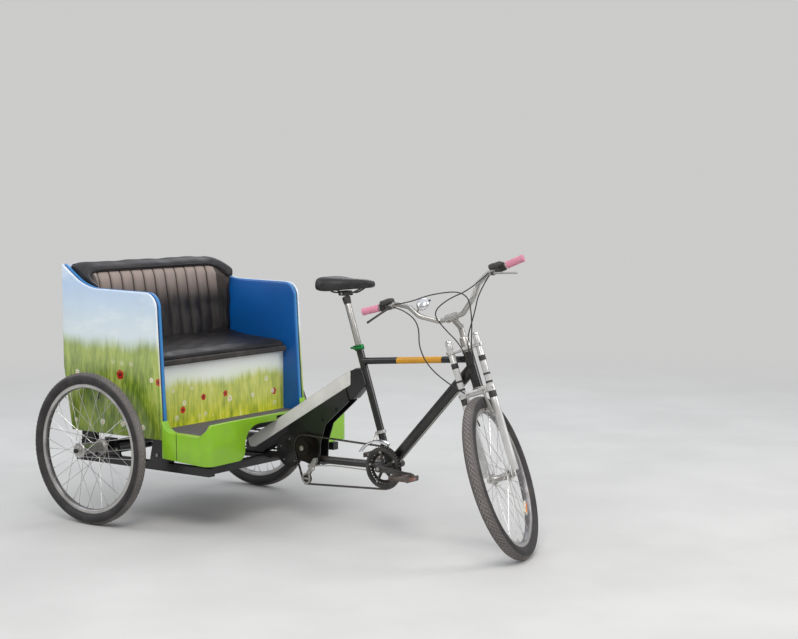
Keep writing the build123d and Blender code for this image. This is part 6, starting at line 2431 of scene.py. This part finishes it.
@dataclass
class Studio:
    """Floor, lights, world and camera."""

    camera_place: Vector = field(default_factory=lambda: at(5.1, -5.286, 1.471))
    ahead: Vector = field(default_factory=lambda: Vector((-0.58457, 0.80697, -0.08414)))
    right: Vector = field(default_factory=lambda: Vector((0.81001, 0.58641, -0.00348)))
    lens: float = 71.23
    fade_from: float = 3.0
    fade_to: float = 7.5
    backdrop: Colour = (0.6, 0.6, 0.595, 1.0)

    def make(self) -> None:
        """Set up the studio."""
        self.make_floor()
        self.make_lights()
        self.make_camera()

    def make_floor(self) -> None:
        """Wide pale floor."""
        shape = bmesh.new()
        bmesh.ops.create_grid(shape, x_segments=1, y_segments=1, size=30.0)
        mesh = bpy.data.meshes.new("studio_floor")
        shape.to_mesh(mesh)
        shape.free()
        floor = bpy.data.objects.new("studio_floor", mesh)
        bpy.context.scene.collection.objects.link(floor)
        graph = Graph("floor_paper")
        cloud = graph.noise(graph.place(), 1.5, 4.0)
        spot = graph.place()
        x, y, _ = graph.split(spot)
        far = (x * x + y * y).root().step(self.fade_from, self.fade_to)
        tone = graph.mix(cloud.step(0.3, 0.7), rgb(196, 195, 193), rgb(203, 202, 200))
        mesh.materials.append(graph.finish(
            base_color=graph.mix(far, tone, rgb(0, 0, 0)), roughness=0.85, specular_ior_level=0.0,
            emission_color=graph.mix(far, rgb(0, 0, 0), self.backdrop), emission_strength=1.0,
        ))

    def make_lights(self) -> None:
        """Large soft lamps and a pale sky."""
        scene = bpy.context.scene
        world = bpy.data.worlds.new("studio_sky")
        scene.world = world
        world.use_nodes = True
        nodes, links = world.node_tree.nodes, world.node_tree.links
        nodes.clear()
        output = nodes.new("ShaderNodeOutputWorld")
        sky = nodes.new("ShaderNodeBackground")
        sky.inputs["Strength"].default_value = 1.0
        way = nodes.new("ShaderNodeTexCoord")
        parts = nodes.new("ShaderNodeSeparateXYZ")
        dome = nodes.new("ShaderNodeValToRGB")
        dome.color_ramp.elements[0].position = 0.0
        dome.color_ramp.elements[0].color = (0.2, 0.2, 0.21, 1.0)
        dome.color_ramp.elements[1].position = 0.75
        dome.color_ramp.elements[1].color = (0.86, 0.89, 0.94, 1.0)
        links.new(way.outputs["Generated"], parts.inputs[0])
        links.new(parts.outputs["Z"], dome.inputs["Fac"])
        links.new(dome.outputs["Color"], sky.inputs["Color"])
        plain = nodes.new("ShaderNodeBackground")
        plain.inputs["Color"].default_value = self.backdrop
        plain.inputs["Strength"].default_value = 1.0
        path = nodes.new("ShaderNodeLightPath")
        blend = nodes.new("ShaderNodeMixShader")
        links.new(path.outputs["Is Camera Ray"], blend.inputs[0])
        links.new(sky.outputs[0], blend.inputs[1])
        links.new(plain.outputs[0], blend.inputs[2])
        links.new(blend.outputs[0], output.inputs["Surface"])
        for name, spot, size, power, colour in (
            ("key", (3.0, -4.4, 5.4), 3.2, 210.0, (1.0, 0.97, 0.92)),
            ("side", (-4.4, -3.0, 3.6), 3.0, 60.0, (0.95, 0.97, 1.0)),
            ("front", (5.0, 2.2, 3.4), 2.6, 108.0, (1.0, 0.98, 0.95)),
            ("rim", (-2.4, 4.8, 4.2), 3.0, 60.0, (0.96, 0.98, 1.0)),
        ):
            data = bpy.data.lights.new(name, "AREA")
            data.shape = "DISK"
            data.size = size
            data.energy = power
            data.color = colour
            lamp = bpy.data.objects.new(name, data)
            scene.collection.objects.link(lamp)
            lamp.location = spot
            lamp.rotation_euler = (Vector((0, 0, 0.5)) - Vector(spot)).to_track_quat("-Z", "Y").to_euler()
        scene.view_settings.view_transform = "Standard"

    def make_camera(self) -> None:
        """Camera at the photograph's angle."""
        data = bpy.data.cameras.new("view")
        data.lens = self.lens
        data.sensor_width = 36.0
        camera = bpy.data.objects.new("view", data)
        bpy.context.scene.collection.objects.link(camera)
        camera.matrix_world = axes(self.camera_place, self.right, -self.ahead)
        bpy.context.scene.camera = camera


def main() -> None:
    """Build the dressed vehicle."""
    logging.basicConfig(level=logging.INFO, format="%(name)s: %(message)s")
    Studio().make()
    paint = Palette()
    for name, body, side, nodes in (
        ("near_rear", "right_road_wheel", Side.RIGHT, ("rear_wheel_right", "rear_tyre_right")),
        ("far_rear", "left_road_wheel", Side.LEFT, ("rear_wheel_left", "rear_tyre_left")),
    ):
        centre = at(0, side.value * HALF_TRACK, WHEEL_RADIUS)
        inward = LEFT * -side.value
        RoadWheel(name, body, centre, inward, paint, 0.088, 0.07, 0.034, 0.022, nodes).make()
    front_nodes = ("front_wheel", "front_tyre")
    hub = on_fork(HUB_AHEAD, 0, HUB_UP)
    RoadWheel(
        "steered", "front_road_wheel", hub, STEER_LEFT, paint, 0.044, 0.044, 0.024, 0.015, front_nodes,
        reflector=True,
    ).make()
    for assembly in (Tub, Upholstery, Chassis, CycleFrame, Fork, Cockpit, Perch, Drive):
        assembly(paint).make()


if __name__ == "__main__":
    main()
